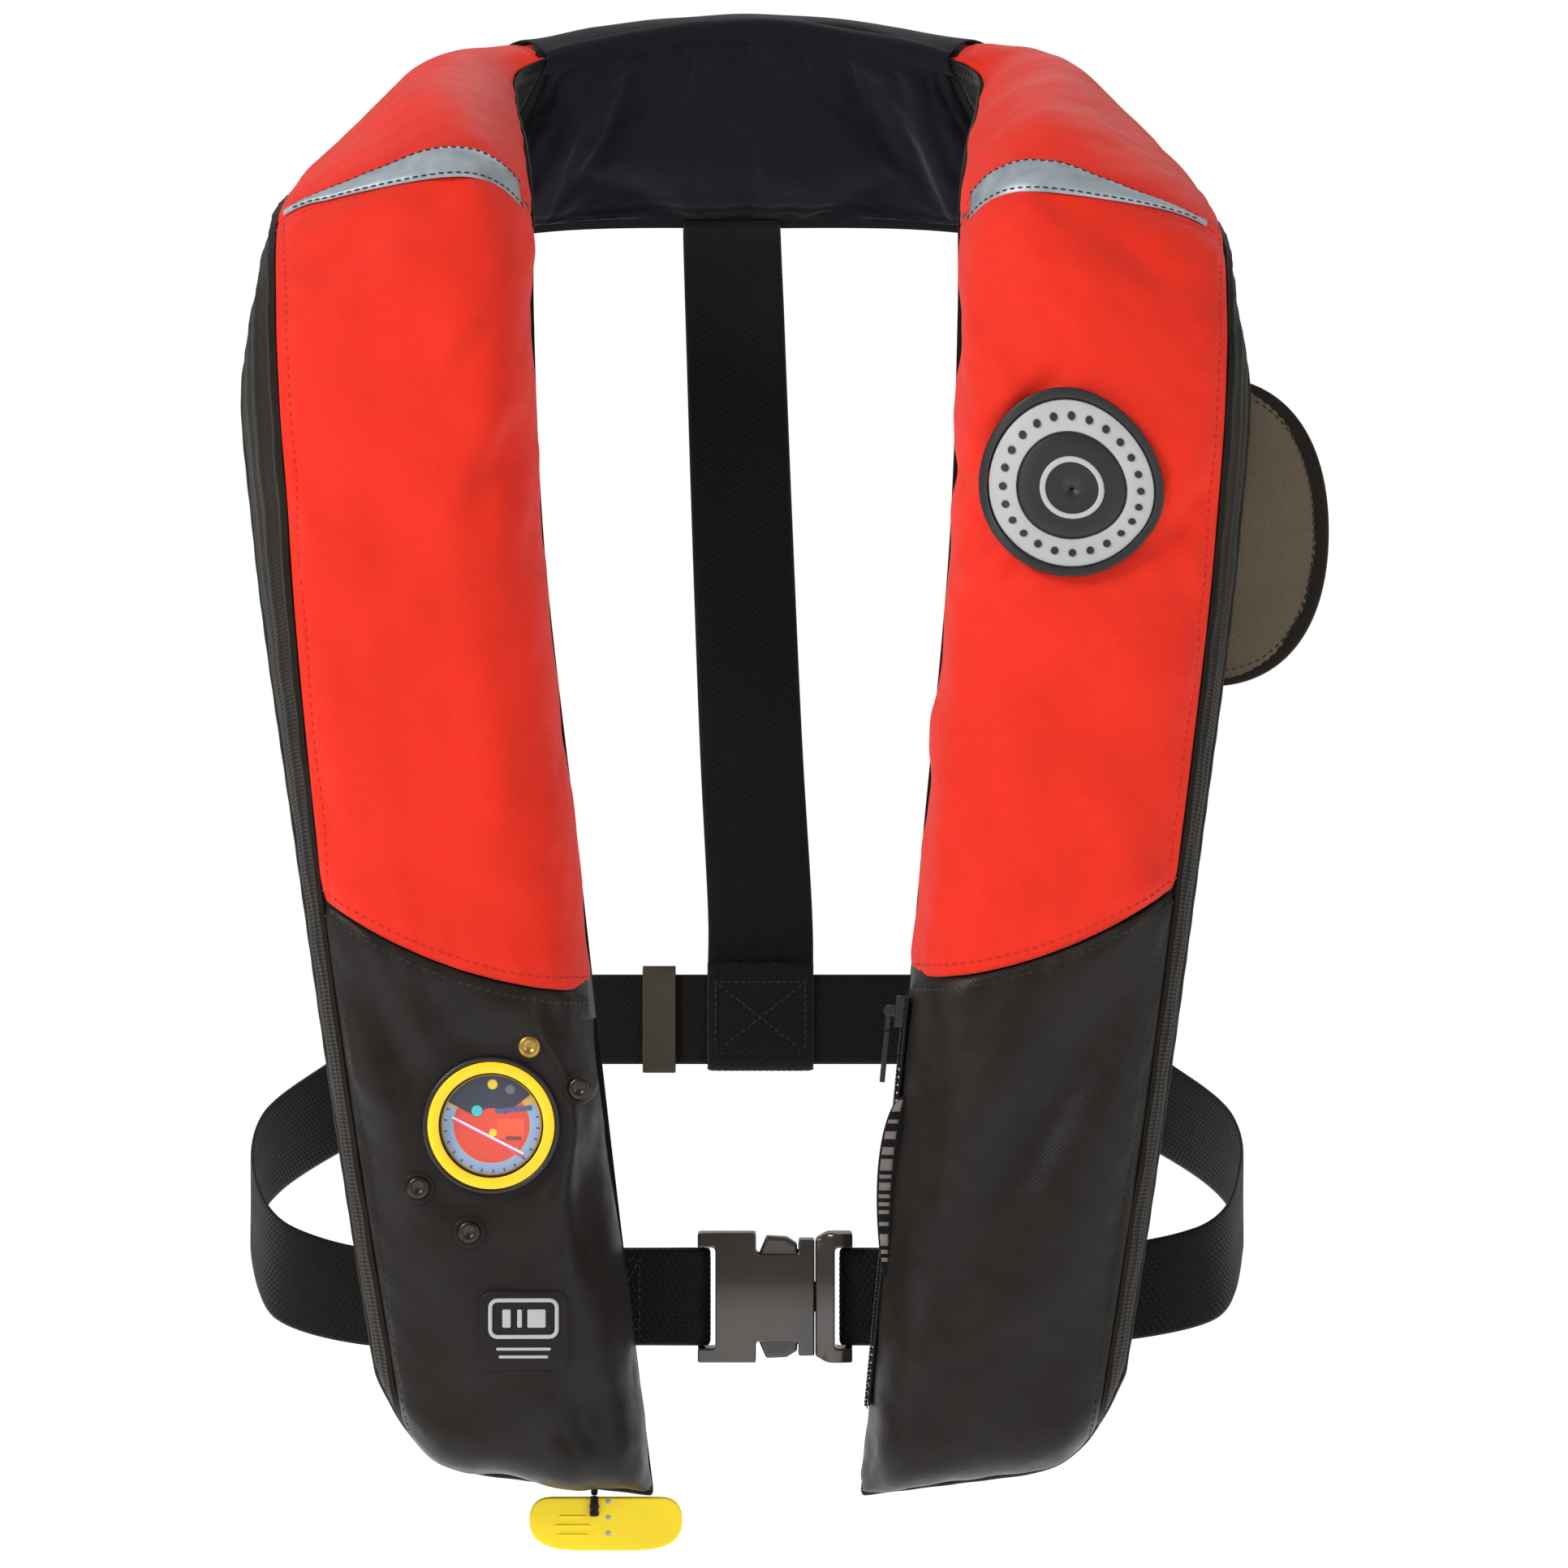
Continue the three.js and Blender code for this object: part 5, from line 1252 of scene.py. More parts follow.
def make_back_strap(m, stitches):
    edge = on_band("right", NAPE_STATION, -1.04, -PANEL - GAP - 1.1)
    start = on_band("right", NAPE_STATION, -PAD_REACH - 0.02, -PANEL - GAP - 1.1)
    loop = WEBBING_THICK + GAP + 0.2
    rear, front, x = BACK_DEPTH + loop, BACK_DEPTH - loop, 5
    foot = BACK_BELT_Z - WEBBING / 2 - loop - GAP
    route = [(-7, start[1], start[2]), (-7, edge[1], edge[2]), (-6, lerp(edge[1], rear, 0.5), edge[2] - 30),
             (-3, rear - 4, lerp(edge[2], BACK_BELT_Z, 0.35)), (1, rear, lerp(edge[2], BACK_BELT_Z, 0.65)),
             (x, rear, BACK_BELT_Z + 40), (x, rear, BACK_BELT_Z + 20), (x, rear, BACK_BELT_Z + 5),
             (x, rear, BACK_BELT_Z - 12), (x, rear, foot + loop), (x, BACK_DEPTH, foot),
             (x, front, foot + loop), (x, front, BACK_BELT_Z), (x, front, BACK_BELT_Z + 24)]
    made, *_ = make_strap("back_webbing", route, lambda t: lerp(41, 45, smoothstep(t, 0, 0.5)),
                          RIGHTWARD, m["webbing"], 0.5, seed=9)
    piece(made, JACKET, "webbing", "back_strap")
    for face, y in ((np.array([0, -1.0, 0]), front), (np.array([0, 1.0, 0]), rear)):
        box_stitch(stitches, np.array([x, y, BACK_BELT_Z + 1]), RIGHTWARD, UP, face, 38, 30, 1.0)


def make_belt_loops(m, stitches):
    """Webbing loops sewn to the back panels, which the belt runs through."""
    face = -CHEST_DEPTH + PANEL
    y0, y1 = face + GAP + 1, BELT_Y + TURN + 4
    reach = WEBBING / 2 + 2
    for side, x in (("right", -112), ("left", 116)):
        points = [(x, y0, BELT_Z + s * a) for s, a in ((1, reach + 9), (1, reach + 4))]
        points += [(x, y0 + 2, BELT_Z + reach), (x, y1 - 3, BELT_Z + reach - 0.5),
                   (x, y1, BELT_Z + reach - 4), (x, y1 + 0.6, BELT_Z)]
        points += [(p[0], p[1], 2 * BELT_Z - p[2]) for p in reversed(points[:-1])]
        made, *_ = make_strap(f"{side}_loop_webbing", points, 30, RIGHTWARD, m["webbing"], 0.0)
        piece(made, JACKET, "webbing", f"{side}_belt_loop")
        for s in (1, -1):
            for offset in (4.2, 7.2):
                z = BELT_Z + s * (reach + offset)
                row = np.array([[x + a, y0 + 1.2, z] for a in np.linspace(-13, 13, 12)])
                stitches.row(row, np.broadcast_to([0, 1.0, 0], row.shape), 3.0, 2.3, 0.34)


# ---- Moulded and turned hardware -----------------------------------------------------------------

def softened(name, node, material, voxel, rounds=2, shape=None):
    """A piece with the CAD node's form and moulded, rounded edges; shape(points) adjusts it in mm."""
    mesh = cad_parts[node].data.copy()
    mesh.name = name
    mesh.materials.clear()
    mesh.materials.append(material)
    made = bpy.data.objects.new(name, mesh)
    bpy.context.scene.collection.objects.link(made)
    remesh = made.modifiers.new("remesh", "REMESH")
    remesh.mode, remesh.voxel_size, remesh.adaptivity = "VOXEL", voxel * MM, 0
    smooth = made.modifiers.new("smooth", "SMOOTH")
    smooth.factor, smooth.iterations = 0.5, rounds
    made.data = bpy.data.meshes.new_from_object(made.evaluated_get(bpy.context.evaluated_depsgraph_get()))
    made.modifiers.clear()
    if shape is not None:
        co = np.array([v.co for v in made.data.vertices]) / MM
        made.data.vertices.foreach_set("co", (shape(co) * MM).astype(np.float32).ravel())
    made.data.polygons.foreach_set("use_smooth", [True] * len(made.data.polygons))
    return made


def turned(name, profile, centre, material, axis="y", sides=64, closed=False):
    """A lathe-turned piece: profile [(radius, height), ...] from one end to the other along an axis.

    A closed profile is a loop round a hole.
    """
    turn = np.linspace(0, 2 * np.pi, sides, endpoint=False)
    rings = []
    for radius, height in profile:
        a = radius * np.cos(turn)
        b = radius * np.sin(turn)
        h = np.full(sides, float(height))
        rings.append(np.stack([a, h, b] if axis == "y" else [a, b, h], -1) + centre)
    return tube_object(name, np.stack(rings), material, closed=closed)


def box_mm(node):
    low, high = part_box(node)
    return np.array(low) / MM, np.array(high) / MM


def make_window(m):
    """The inspection window: bezel, printed ring, lens, and the indicator dial behind it."""
    low, _ = box_mm("window_bezel")
    centre = np.array([WINDOW[0], 0, WINDOW[1]])
    front, view, ring = low[1], VIEW_RADIUS, RING_RADIUS
    bezel = [(WINDOW_RADIUS, front + 3), (WINDOW_RADIUS, front + 0.9), (26.1, front + 0.3),
             (25.5, front), (24.9, front + 0.1), (24.6, front + 0.6), (24.6, front + 1.3),
             (view, front + 1.3), (view, front + 6.7), (HUB_RADIUS, front + 6.7),
             (HUB_RADIUS, front + 3.0)]
    piece(turned("window_rim", bezel, centre, m["black_plastic"], sides=96, closed=True), JACKET,
          "black_plastic", "window_bezel")
    print_ring = [(ring, front + 1.1), (ring, front + 0.2), (ring - 0.3, front), (view + 0.5, front + 0.05),
                  (view + 0.1, front + 0.4), (view + 0.1, front + 1.1)]
    piece(turned("window_yellow_ring", print_ring, centre, m["yellow"], sides=96, closed=True), JACKET,
          "yellow_plastic", "window_ring")
    lens = [(0.01, front + 2.8), (view - 0.3, front + 2.8), (view - 0.3, front + 1.9),
            (view - 0.8, front + 1.6), (12, front + 1.35), (0.01, front + 1.25)]
    piece(turned("window_glass", lens, centre, m["clear"]), JACKET, "clear_plastic", "window_lens")
    low, high = box_mm("window_backing_ring")
    back = [(WINDOW_RADIUS, low[1]), (WINDOW_RADIUS, high[1]), (22.4, high[1]), (22.4, low[1])]
    piece(turned("window_clamp_ring", back, centre, m["black_plastic"], closed=True), JACKET,
          "black_plastic", "window_backing_ring")
    make_dial(m)


def arc_band(inside, outside, start, stop, steps=28):
    """Outline of part of a ring, in degrees anticlockwise from the right."""
    a = np.radians(np.linspace(start, stop, steps))
    outer = np.stack([outside * np.cos(a), outside * np.sin(a)], -1)
    inner = np.stack([inside * np.cos(a[::-1]), inside * np.sin(a[::-1])], -1)
    return np.concatenate([outer, inner])


def bar(x0, z0, x1, z1, width):
    a, b = np.array([x0, z0], float), np.array([x1, z1], float)
    way = (b - a) / np.linalg.norm(b - a)
    side = np.array([-way[1], way[0]]) * width / 2
    return np.stack([a + side, b + side, b - side, a - side])


def circle(x, z, radius, sides=24):
    a = np.linspace(0, 2 * np.pi, sides, endpoint=False)
    return np.stack([x + radius * np.cos(a), z + radius * np.sin(a)], -1)


def inlay(name, outline, depth, thick, material):
    """A thin flat shape in the window's plane; depth is its back face."""
    count = len(outline)
    points = outline + WINDOW
    verts = [(x, depth, z) for x, z in points] + [(x, depth - thick, z) for x, z in points]
    faces = [tuple(range(count)), tuple(range(2 * count - 1, count - 1, -1))]
    faces += [(i, (i + 1) % count, count + (i + 1) % count, count + i) for i in range(count)]
    return mesh_object(name, verts, faces, material, [(x, z) for x, _, z in verts], smooth=False)


DIAL_MARKS = (  # name, colour, outline, layer
    ("dial_field", (222, 66, 38), circle(0, 0, 14.6, 64), 1),
    ("dial_scale", (150, 176, 216), arc_band(14.8, 18.6, -205, 28, 64), 1),
    ("dial_band", (30, 34, 60), arc_band(6.5, 18.9, 38, 152, 40), 2),
    ("dial_panel", (246, 84, 40), bar(2, -1.5, 12.6, -1.5, 7.5), 2),
    ("dial_bar_1", (70, 84, 128), bar(1.5, 5.2, 15.5, 6.6, 1.8), 3),
    ("dial_bar_2", (120, 52, 40), bar(5.5, -5.0, 11.5, -5.2, 1.4), 3),
    ("dial_needle", (232, 226, 240), bar(-15.2, 3.0, 12.5, -11.2, 0.9), 4),
    ("dial_needle_edge", (232, 60, 96), bar(-14.8, 1.9, 12.0, -12.3, 0.9), 4),
    ("dial_dot_top", (250, 216, 40), circle(0.4, 15.6, 1.9), 4),
    ("dial_dot_side", (112, 98, 108), circle(7.2, 13.6, 1.8), 4),
    ("dial_spot", (250, 206, 30), circle(0.6, -3.0, 1.5), 4),
    ("dial_stud", (40, 190, 196), circle(-5.6, 5.4, 2.1), 5),
)


def make_dial(m):
    low, high = box_mm("status_dial")
    centre = np.array([WINDOW[0], 0, WINDOW[1]])
    disc = [(0.01, high[1]), (19.4, high[1]), (19.4, low[1] + 0.2), (19.1, low[1]), (0.01, low[1])]
    piece(turned("dial_disc", disc, centre, moulded("dial_print_base", linear(238, 190, 40), 0.5, 0.05)),
          JACKET, "dial_print", "status_dial")
    for name, colour, outline, layer in DIAL_MARKS:
        ink = moulded(name + "_ink", linear(*colour), 0.5, 0.06, Specular_IOR_Level=0.1)
        thick = 0.12 * layer
        piece(inlay(name, outline, low[1] + 0.02, thick, ink), JACKET, "dial_print")
    for number in range(16):
        a = math.radians(-200 + 14 * number)
        tick = bar(17.2 * math.cos(a), 17.2 * math.sin(a), 18.4 * math.cos(a), 18.4 * math.sin(a), 0.5)
        piece(inlay(f"dial_tick_{number + 1}", tick, low[1] + 0.02, 0.3, m["badge"]), JACKET, "dial_print")


def make_snaps(m):
    for number in range(4):
        node = f"cover_snap_{number + 1}"
        low, high = box_mm(node)
        centre = np.array([(low[0] + high[0]) / 2, 0, (low[2] + high[2]) / 2])
        front, back = low[1], high[1]
        shape = [(0.01, front + 0.9), (1.2, front + 0.85), (1.9, front + 0.25), (2.6, front),
                 (3.6, front + 0.15), (4.3, front + 0.8), (4.4, front + 1.3), (4.1, front + 1.7),
                 (1.5, front + 1.8), (1.5, back - 0.3), (1.3, back), (0.01, back)]
        metal = m["brass" if number == 0 else "dark_snap"]
        piece(turned(f"snap_stud_{number + 1}", shape, centre, metal, sides=40), JACKET, "brass", node)
        collar = annulus_on("right", centre[0], centre[2], 1.8, 6.2, -0.3, 0.8,
                            f"snap_collar_{number + 1}", m["coated"], 32)
        piece(collar, JACKET, "coated_fabric")


def make_handle(m):
    low, high = box_mm("pull_handle")
    made = softened("pull_tab", "pull_handle", m["pull_yellow"], 0.6, 3)
    piece(made, "release_handle", "yellow_plastic", "pull_handle")
    x, z = (low[0] + high[0]) / 2 + 1, high[2]
    for number in range(3):
        shape = [(0.01, low[1] - 0.35), (1.0, low[1] - 0.2), (1.3, low[1] + 0.4), (0.01, low[1] + 0.5)]
        dot = turned(f"pull_tab_pip_{number + 1}", shape, np.array([x, 0, z - 1.8 - 6.2 * number]),
                     m["badge_grey"], sides=20)
        piece(dot, "release_handle", "yellow_plastic")
    _, cord_high = box_mm("pull_cord")
    cord_end = np.array([cord_high[0] - 1.5, low[1] - 1.3, z])
    knot = [(0.01, -7.5), (1.7, -7.2), (2.0, -6), (1.5, -4.8), (2.0, -3.6), (1.6, -2.4), (1.5, 0.5),
            (0.01, 0.8)]
    made = turned("pull_cord_knot", knot, cord_end, m["cord"], "z", 24)
    piece(made, "release_handle", "black_fabric")
    for number, wide in enumerate((11, 15, 13)):
        middle = (x - 14, low[1] - 0.1, z - 7.5 - 3.6 * number)
        rib = softened_bar(f"pull_tab_rib_{number + 1}", middle, (wide, 0.7, 0.9), m["pull_yellow"])
        piece(rib, "release_handle", "yellow_plastic")


def softened_bar(name, centre, size, material):
    """A small bar with rounded ends, along X."""
    half, depth, tall = (s / 2 for s in size)
    at = np.linspace(-1, 1, 13)
    fade = np.sqrt(np.clip(1 - np.abs(at) ** 8, 0.02, 1))
    rings = []
    for a, f in zip(at, fade):
        ring = round_profile(1, 10) * (tall * f, depth * f)
        rings.append(np.stack([np.full(10, a * half), ring[:, 1], ring[:, 0]], -1) + np.array(centre))
    return tube_object(name, np.stack(rings), material)


def make_cord(m):
    """The pull cord inside the casing: a braided sleeve along the CAD solid's middle line."""
    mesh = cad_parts["pull_cord"].data
    co = np.array([v.co for v in mesh.vertices]) / MM
    order = np.argsort(-co[:, 2])
    co = co[order]
    levels = np.linspace(co[0, 2], co[-1, 2], 70)
    middle = np.stack([[np.mean(co[np.abs(co[:, 2] - z) < 6][:, i]) for i in (0, 1)] + [z] for z in levels])
    along = unit(np.gradient(middle, axis=0))
    wide = unit(np.cross(along, np.array([0, 1.0, 0.02])))
    swell_by = 1 + 0.05 * np.sin(np.arange(len(middle)) * 1.9)
    rings = sweep(middle, wide * swell_by[:, None], np.cross(along, wide) * swell_by[:, None],
                  round_profile(1.45, 12))
    piece(tube_object("pull_cord_braid", rings, m["cord"], 1), "release_handle", "black_fabric", "pull_cord")


def buckle_waist(co):
    """Draws the buckle's body in towards its mouth and rounds its faces, as a moulded buckle is."""
    out = co.copy()
    x, y, z = co[:, 0], co[:, 1] - BELT_Y, co[:, 2] - BELT_Z
    waist = 2.6 * smoothstep(x, 4, 20) * (1 - smoothstep(x, 26, 33))
    edge = smoothstep(np.abs(z), 16, 25)
    out[:, 2] -= np.sign(z) * waist * edge
    face = smoothstep(np.abs(y), 4, 8)
    crown = 3.2 * (1 - (np.abs(z) / 27) ** 2).clip(0) - 1.6
    flare = 1.8 * np.exp(-(((x - 36) / 5) ** 2)) - 1.4 * np.exp(-(((x - 27) / 5) ** 2))
    out[:, 1] += np.sign(y) * (crown + flare) * face
    return out


BUCKLE = (  # name, node, body, rounds of smoothing, what adjusts its shape
    ("buckle_socket", "buckle_female", JACKET, 3, buckle_waist),
    ("buckle_base", "buckle_male", "buckle_plug", 3, buckle_waist),
    ("buckle_prong_upper", "buckle_arm_upper", "upper_arm", 2, None),
    ("buckle_prong_lower", "buckle_arm_lower", "lower_arm", 2, None),
)


def make_buckle(m):
    for name, node, body, rounds, shape in BUCKLE:
        piece(softened(name, node, m["buckle"], 0.62, rounds, shape), body, "buckle_plastic", node)


HARDWARE = (  # name, node, body, material, slot, voxel
    ("belt_keeper", "belt_slider", "strap_slider", "trim_plastic", "buckle_plastic", 0.6),
    ("inflator_housing", "inflator_body", JACKET, "black_plastic", "black_plastic", 0.7),
    ("release_arm", "inflator_lever", "release_lever", "yellow", "yellow_plastic", 0.45),
    ("whistle_body", "whistle", JACKET, "orange", "orange_plastic", 0.5),
    ("zip_slider_body", "zipper_slider", "zip_slider", "black_plastic", "black_plastic", 0.28),
    ("zip_pull_tab", "zipper_pull", "zip_pull", "black_plastic", "black_plastic", 0.25),
)


def slimmer(co):
    """Draws a piece in a little, so that it turns freely in the housing beside it."""
    middle = (co.min(0) + co.max(0)) / 2
    return middle + (co - middle) * (0.97, 0.88, 0.97)


def make_hardware(m):
    for name, node, body, material, slot, voxel in HARDWARE:
        shape = slimmer if node == "inflator_lever" else None
        piece(softened(name, node, m[material], voxel, shape=shape), body, slot, node)
    for node, material, name, inset in (("inflator_cap", "yellow", "inflator_cartridge", 0.8),
                                        ("manifold_nut", "brass", "manifold_ring", 0.4),
                                        ("lever_pin", "steel", "lever_pivot", 0.3)):
        low, high = box_mm(node)
        radius = (high[0] - low[0]) / 2
        centre = np.array([(low[0] + high[0]) / 2, 0, (low[2] + high[2]) / 2])
        shape = [(0.01, low[1]), (radius - inset, low[1]), (radius, low[1] + inset),
                 (radius, high[1] - inset), (radius - inset, high[1]), (0.01, high[1])]
        slot = {"yellow": "yellow_plastic"}.get(material, material)
        sides = 6 if node == "manifold_nut" else 48
        piece(turned(name, shape, centre, m[material], sides=sides), JACKET, slot, node)
    low, high = box_mm("gas_cylinder")
    centre = np.array([(low[0] + high[0]) / 2, (low[1] + high[1]) / 2, 0])
    b, t = low[2], high[2]
    shape = [(0.01, b), (5, b), (9, b + 1), (11.6, b + 3), (12.5, b + 6), (12.5, t - 16),
             (11.9, t - 13), (10.5, t - 10), (8.2, t - 7), (6.6, t - 4.5), (6, t - 4)]
    for turn in range(4):
        shape += [(6.0, t - 4 + turn), (5.5, t - 3.5 + turn)]
    piece(turned("gas_bottle", shape + [(5.4, t), (0.01, t)], centre, m["steel"], "z"), JACKET, "steel",
          "gas_cylinder")
    low, high = box_mm("oral_tube")
    centre = np.array([(low[0] + high[0]) / 2, (low[1] + high[1]) / 2, 0])
    shape = [(0.01, low[2]), (5.2, low[2]), (6, low[2] + 0.8)]
    for z in np.arange(low[2] + 3, high[2] - 16, 2.4):
        shape += [(6.0, z), (5.6, z + 0.6), (5.6, z + 1.2), (6.0, z + 1.8)]
    shape += [(6, high[2] - 0.8), (5.4, high[2]), (0.01, high[2])]
    piece(turned("oral_tube_hose", shape, centre, m["black_plastic"], "z", 40), JACKET,
          "black_plastic", "oral_tube")
    low, high = box_mm("oral_valve_cap")
    b, t = low[2], high[2]
    shape = [(0.01, b), (6.6, b), (7, b + 0.6), (7, b + 3), (6.4, b + 3.4), (6.4, t - 2.5),
             (5.8, t - 0.6), (4.8, t), (2.6, t), (2.2, t - 0.9), (0.01, t - 0.9)]
    piece(turned("oral_valve_cover", shape, centre, m["yellow"], "z", 48), "valve_cap", "yellow_plastic",
          "oral_valve_cap")
    low, high = box_mm("whistle_lanyard")
    span = np.linspace(low[0], high[0], 16)
    sag = -0.5 * np.sin(np.pi * np.linspace(0, 1, 16))
    middle = np.stack([span, np.full(16, (low[1] + high[1]) / 2), (low[2] + high[2]) / 2 + sag], -1)
    rings = sweep(middle, np.broadcast_to([0, 1.0, 0], middle.shape), np.broadcast_to(UP, middle.shape),
                  round_profile(0.95, 12))
    piece(tube_object("whistle_cord", rings, m["cord"], 1), JACKET, "black_fabric", "whistle_lanyard")


# ---- Flap, zipper and bladder --------------------------------------------------------------------

FLAP_X, FLAP_Z, FLAP_HALF, FLAP_REACH = NECK_HALF + BAND_WIDTH - 13, LOBE_TOP - 86, 61, 47
FLAP_Y, FLAP_THICK, BINDING = -CHEST_DEPTH + PANEL + GAP, 2.2, 7.5


def flap_outline(inset, count=90):
    """The flap's D outline from its top corner to its bottom one, inset from the full size."""
    reach, half = FLAP_REACH - inset, FLAP_HALF - inset
    halves = []
    for p in (((0, half), (reach * 0.66, half), (reach, half * 0.6), (reach, 0)),
              ((reach, 0), (reach, -half * 0.6), (reach * 0.66, -half), (0, -half))):
        p = np.array(p, float)[:, None]
        t = np.linspace(0, 1, 200)[:, None]
        halves.append((1 - t) ** 3 * p[0] + 3 * (1 - t) ** 2 * t * p[1]
                      + 3 * (1 - t) * t**2 * p[2] + t**3 * p[3])
    path = np.concatenate([halves[0], halves[1][1:]])
    away = np.concatenate([[0], np.cumsum(np.linalg.norm(np.diff(path, axis=0), axis=1))])
    at = np.linspace(0, away[-1], count)
    return np.stack([np.interp(at, away, path[:, 0]), np.interp(at, away, path[:, 1])], -1)


def make_flap(m):
    """The side flap: a crowned cloth field with a turned and stitched binding round its free edge."""
    outline = flap_outline(2.5)
    spine = np.stack([0 * outline[:, 0], outline[:, 1]], -1)
    t = np.linspace(0, 1, 26)[:, None, None]
    flat = lerp(spine, outline, t)
    fill = (1 - np.linspace(0, 1, 26) ** 4)[:, None] * np.ones(len(outline))
    plane = np.stack([FLAP_X + flat[..., 0], np.full(flat.shape[:2], 0.0), FLAP_Z + flat[..., 1]], -1)
    lumps = 0.35 * ripple(plane, 28, 91)
    front, back = plane.copy(), plane.copy()
    front[..., 1] = FLAP_Y + 0.4 - (0.6 * fill + lumps * fill)
    back[..., 1] = FLAP_Y + FLAP_THICK + 0.5 * fill + lumps * fill
    made = shell_object("flap_field", front, back, m["flap"])
    piece(made, "flap", "flap_fabric", "side_flap")
    path = flap_outline(BINDING / 2, 150)
    path = np.stack([FLAP_X + path[:, 0], np.full(150, FLAP_Y + 1.5), FLAP_Z + path[:, 1]], -1)
    along = unit(np.gradient(path, axis=0))
    wide = unit(np.cross(along, np.array([0, 1.0, 0])))
    profile = [(-3.6, -0.9), (-3.6, 0.9), (-2.6, 1.35), (-0.5, 1.45), (1.6, 1.6), (3.1, 1.25), (3.75, 0),
               (3.1, -1.25), (1.6, -1.6), (-0.5, -1.45), (-2.6, -1.35)]
    out = np.sign(np.sum(wide * np.array([1.0, 0, 0]), -1).sum())
    rings = sweep(path, wide * out, np.broadcast_to([0, 1.0, 0], path.shape), profile)
    rings[:, :, 1] += 0.08 * np.sin(np.arange(150) * 1.7)[:, None]
    piece(tube_object("flap_binding", rings, m["trim"], 1), "flap", "trim_fabric", "side_flap_binding")
    sewn = Stitches("flap_stitching", m["black_thread"], "flap", "flap_fabric")
    line = path - wide * out * 2.4
    for y, way in ((-1.5, -1.0), (1.5, 1.0)):
        sewn.row(line[3:-3] + (0, y, 0), np.broadcast_to([0, way, 0], line[3:-3].shape), 3.2, 2.4, 0.33)
    sewn.make()


ZIP_TOP, ZIP_LENGTH, ZIP_SEAT, ZIP_DEPTH = LOBE_BOTTOM + 202 - 8, 160, -0.1, 11


def zip_frame():
    """The zipper's own place: its top, and its directions down the track, away from the lobe, and across."""
    top, bottom = (on_band("left", station_at("left", z), 1.0, 0.0) for z in (ZIP_TOP, ZIP_TOP - ZIP_LENGTH))
    down = unit(bottom - top)
    out = unit(np.array([-1.0, 0, 0]) - down * -down[0])
    return top + (-ZIP_SEAT, -ZIP_DEPTH, 0), down, out


def make_zipper(m, stitches):
    """The zipper at the left lobe's neck edge: a woven tape, and a coil of separate teeth."""
    top, down, out = zip_frame()
    across = np.array([0, -1.0, 0])

    def at(lift, side, run):
        return top + out * lift + across * side + down * run

    run = np.linspace(0, ZIP_LENGTH, 70)
    side = np.linspace(-6, 6, 15)
    ridge = 0.18 * np.cos(side * 2 * np.pi / 3.0)
    face = np.stack([[at(0.95 + r, s, d) for s, r in zip(side, ridge)] for d in run])
    base = np.stack([[at(0.05, s, d) for s in side] for d in run])
    piece(shell_object("zip_tape", face, base, m["black"]), JACKET, "black_fabric", "zipper_tape")
    verts, faces = [], []
    sides = 8
    tooth = round_profile(1.0, sides)
    for d in np.arange(1, ZIP_LENGTH - 0.5, 1.6):
        for half in (-1, 1):
            faces += prism_faces(len(verts), sides)
            middle = d + 0.4 * half
            for share, size in ((0.15, 0.7), (0.8, 1), (1.7, 0.95), (2.0, 0.5)):
                for a, b in tooth * size:
                    verts.append(at(1.9 + 0.62 * a, half * share, middle + 0.52 * b))
    coil = mesh_object("zip_coil", verts, faces, m["black_plastic"], [(v[1], v[2]) for v in verts])
    piece(coil, JACKET, "black_plastic", "zipper_coil")
    for s in (-4.6, 4.6):
        line = np.stack([at(1.15, s, d) for d in run])
        stitches.row(line, np.broadcast_to(out, line.shape), 3.0, 2.2, 0.3)


def make_zip_strip(m):
    """A fold of woven tape that stands out beside the zipper, with plain pale dashes."""
    heights = np.linspace(LOBE_BOTTOM + 156, LOBE_BOTTOM + 84, 48)[:, None]
    run = np.linspace(0, 1, 48)[:, None]
    reach = 2 + 7.5 * np.sin(np.pi * run**0.7) ** 0.7
    middle, across, normal, half = band_frame("left", station_at("left", heights[:, 0]))
    out = np.linspace(0, 1, 9)[None, :] * reach - 3
    lift = ZIP_DEPTH + 9.5 - 0.05 * out**2 + 0.5 * np.sin(run * 9)
    edge = middle + across * half
    top = edge[:, None] + across[:, None] * out[..., None] + normal[:, None] * lift[..., None]
    normals = grid_normals(top, normal[:, None])
    piece(shell_object("edge_strip", top, top - 0.8 * normals, m["black"]), JACKET, "black_fabric")
    rng = np.random.default_rng(5)
    row = number = 0
    while row < 43:
        row += 1
        size = int(rng.integers(1, 4))
        part = slice(row, row + size + 1)
        grid = top[part, 3:8] + normals[part, 3:8] * 0.2
        number += 1
        piece(shell_object(f"edge_strip_dash_{number}", grid, grid - normals[part, 3:8] * 0.4,
                           m["dash"], 0), JACKET, "black_fabric")
        row += size + int(rng.integers(0, 2))


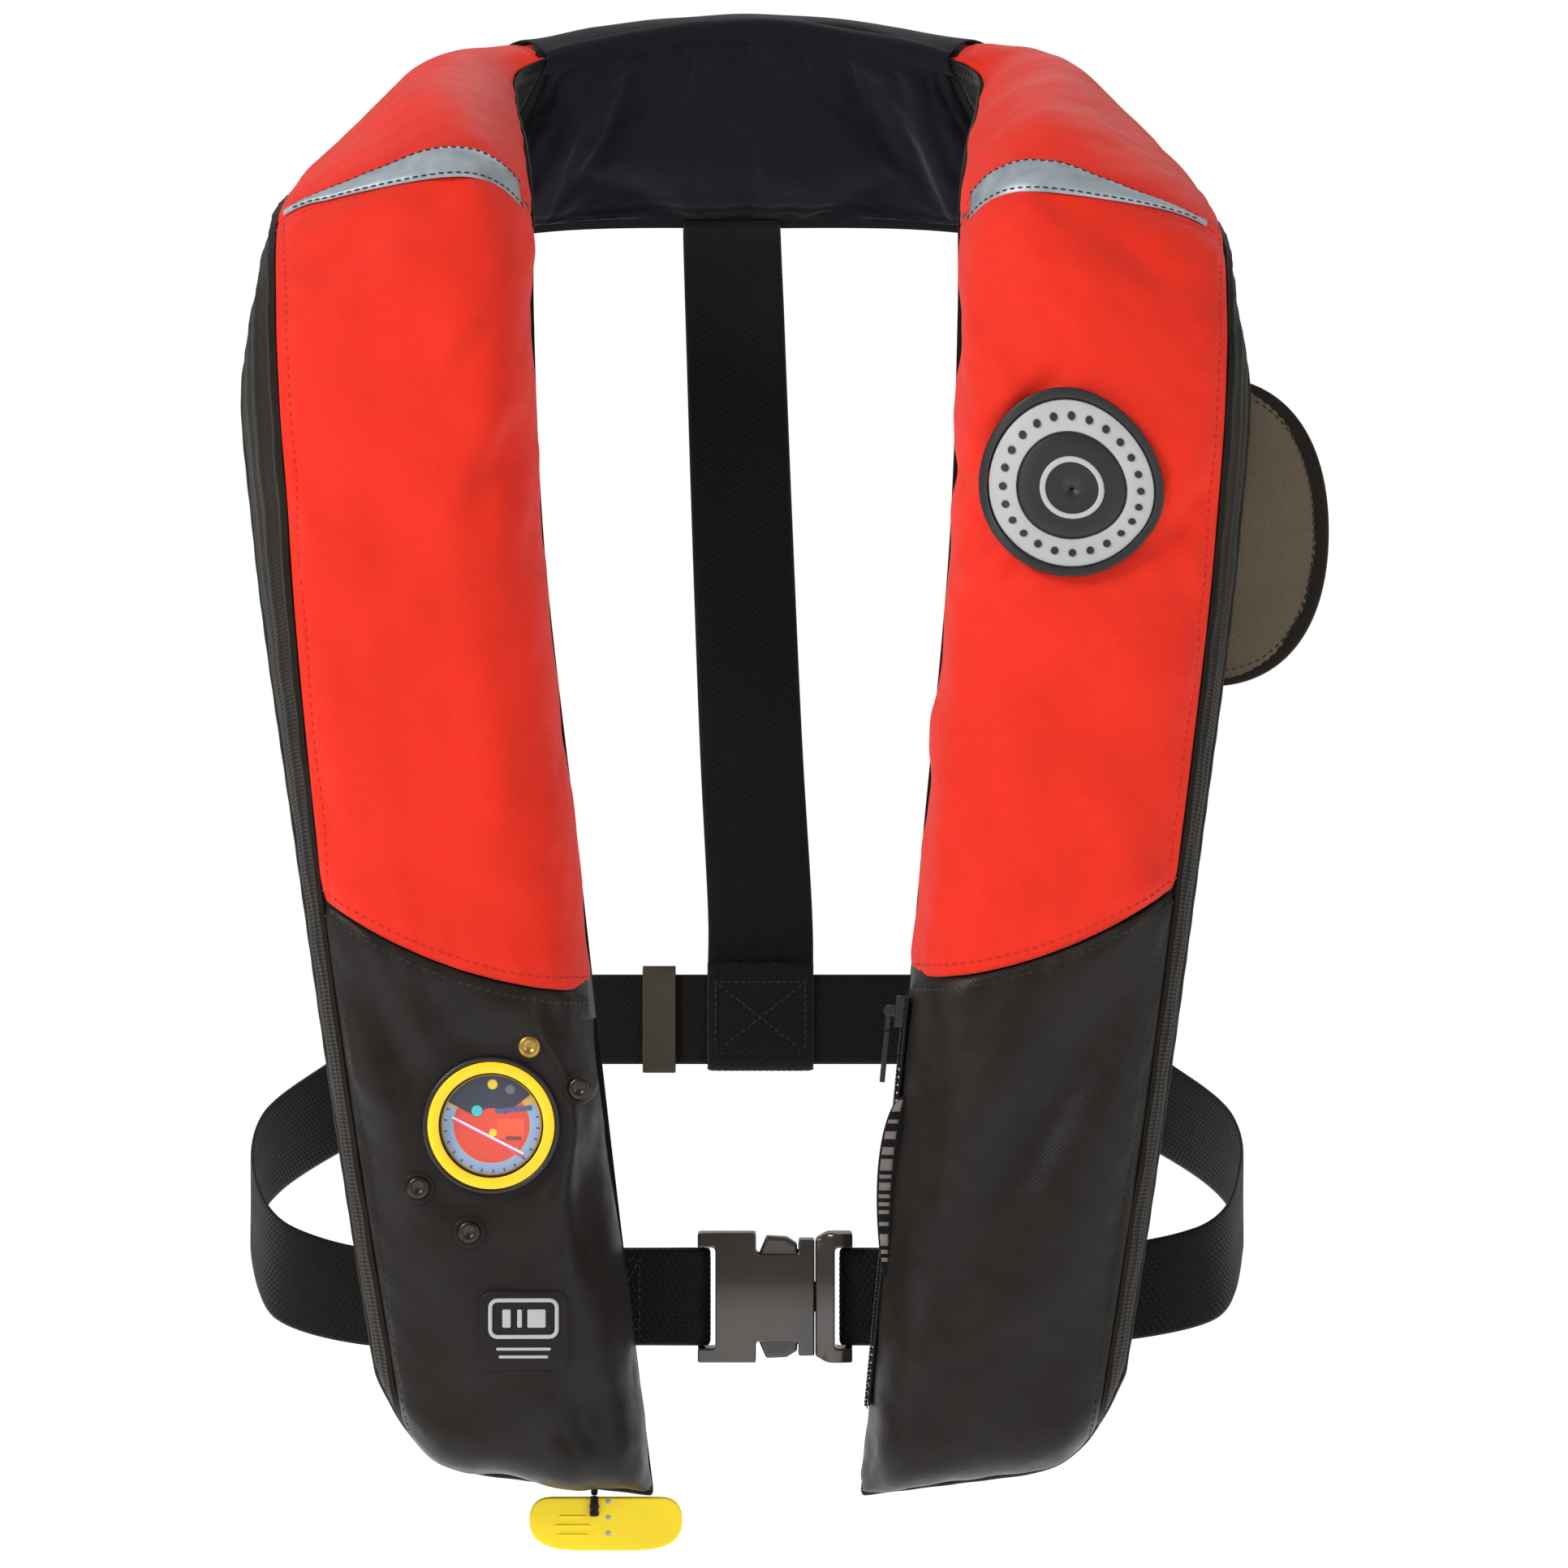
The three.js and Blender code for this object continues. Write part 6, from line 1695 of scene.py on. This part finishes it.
def make_bladder(m):
    """The folded inflation cell inside the covers, with a welded rim and slack wrinkles."""
    stations = np.concatenate([np.linspace(0.45, 3.2, 60), np.linspace(3.25, NAPE_STATION, 120)])
    k = np.concatenate([stations, stations[::-1][1:]])
    t = np.concatenate([-np.ones(len(stations)), np.ones(len(stations) - 1)])
    columns = 20
    kk, tt = k[:, None] * np.ones(columns + 1), t[:, None] * np.ones(columns + 1)
    reach = np.where(tt > 0, 0.78, lerp(0.55, 0.78, smoothstep(kk, 0.9, 1.6)))
    v = spread(-1, 1, columns)[None, :] * reach
    lower = np.where(tt > 0, 24, 8)
    height = lerp(lerp(lower, 24, smoothstep(kk, 1.7, 2.3)), 14, smoothstep(kk, 6, NAPE_STATION - 1))
    top = 2 + (height - 2) * (1 - np.abs(v / reach / 1.02) ** 4).clip(0) ** (1 / 2.2)
    face = yoke_points(tt, kk, v, top)
    normals = grid_normals(face, yoke_normals(tt, kk))
    slack = ripple(face, 26, 41)
    slack = slack * smoothstep(border(face, "low"), 3, 14) * smoothstep(border(face, "high"), 3, 14)
    face = puff(face, normals, 0.6 * slack - 1.5)
    base = yoke_points(tt, kk, v, 0.9 + 0 * v)
    piece(shell_object("inflation_cell", face, base, m["bladder"], 0), JACKET, "bladder_fabric",
          "inflation_bladder")


# ---- Assembly ------------------------------------------------------------------------------------

TOPSTITCH = 4.9  # distance of the topstitching from a cover's seam


def sew_covers(panels, red, dark):
    """Topstitching beside the covers' seams, with a few points left free at each end."""
    for name, stitches, edges in (
        ("chest_panel", red, (("start", 2), ("end", 2), ("low", 3))),
        ("shoulder_panel", red, (("start", 2), ("end", 2), ("low", 3))),
        ("lower_panel", dark, (("end", 3), ("low", 3), ("start", 3))),
    ):
        for edge, free in edges:
            lines = edge_line(*panels[name], edge, TOPSTITCH)
            stitches.row(*(line[free:-free] for line in lines), lift=-0.05)


def main():
    make_camera()
    m = make_materials()
    make_stage()
    dark = Stitches("dark_stitching", m["black_thread"])
    red = Stitches("red_stitching", m["red_thread"], slot="red_fabric")
    for side in SIDES:
        panels = make_covers(side, m)
        sew_covers(panels, red, dark)
        face, normals = make_trim(side, m)
        dark.row(*edge_line(face, normals, "low", 4.5))
        make_binding(side, m)
        back, normals = make_back_panel(side, m)
        for edge in ("low", "high"):
            dark.row(*edge_line(back, normals, edge, 9.0))
        make_tape(side, m, dark)
    face, normals = make_yoke(m)
    red.row(*edge_line(face, normals, "start", TOPSTITCH))
    red.row(*edge_line(face, normals, "end", TOPSTITCH))
    face, normals = make_nape_roll(m)
    dark.row(*edge_line(face, normals, "low", 4.0))
    make_collar(m)
    make_badge(m)
    make_label(m)
    make_window(m)
    make_snaps(m)
    make_handle(m)
    make_cord(m)
    make_straps(m, dark)
    make_belt_loops(m, dark)
    make_buckle(m)
    make_hardware(m)
    make_flap(m)
    make_zipper(m, dark)
    make_zip_strip(m)
    make_bladder(m)
    red.make()
    dark.make()


main()
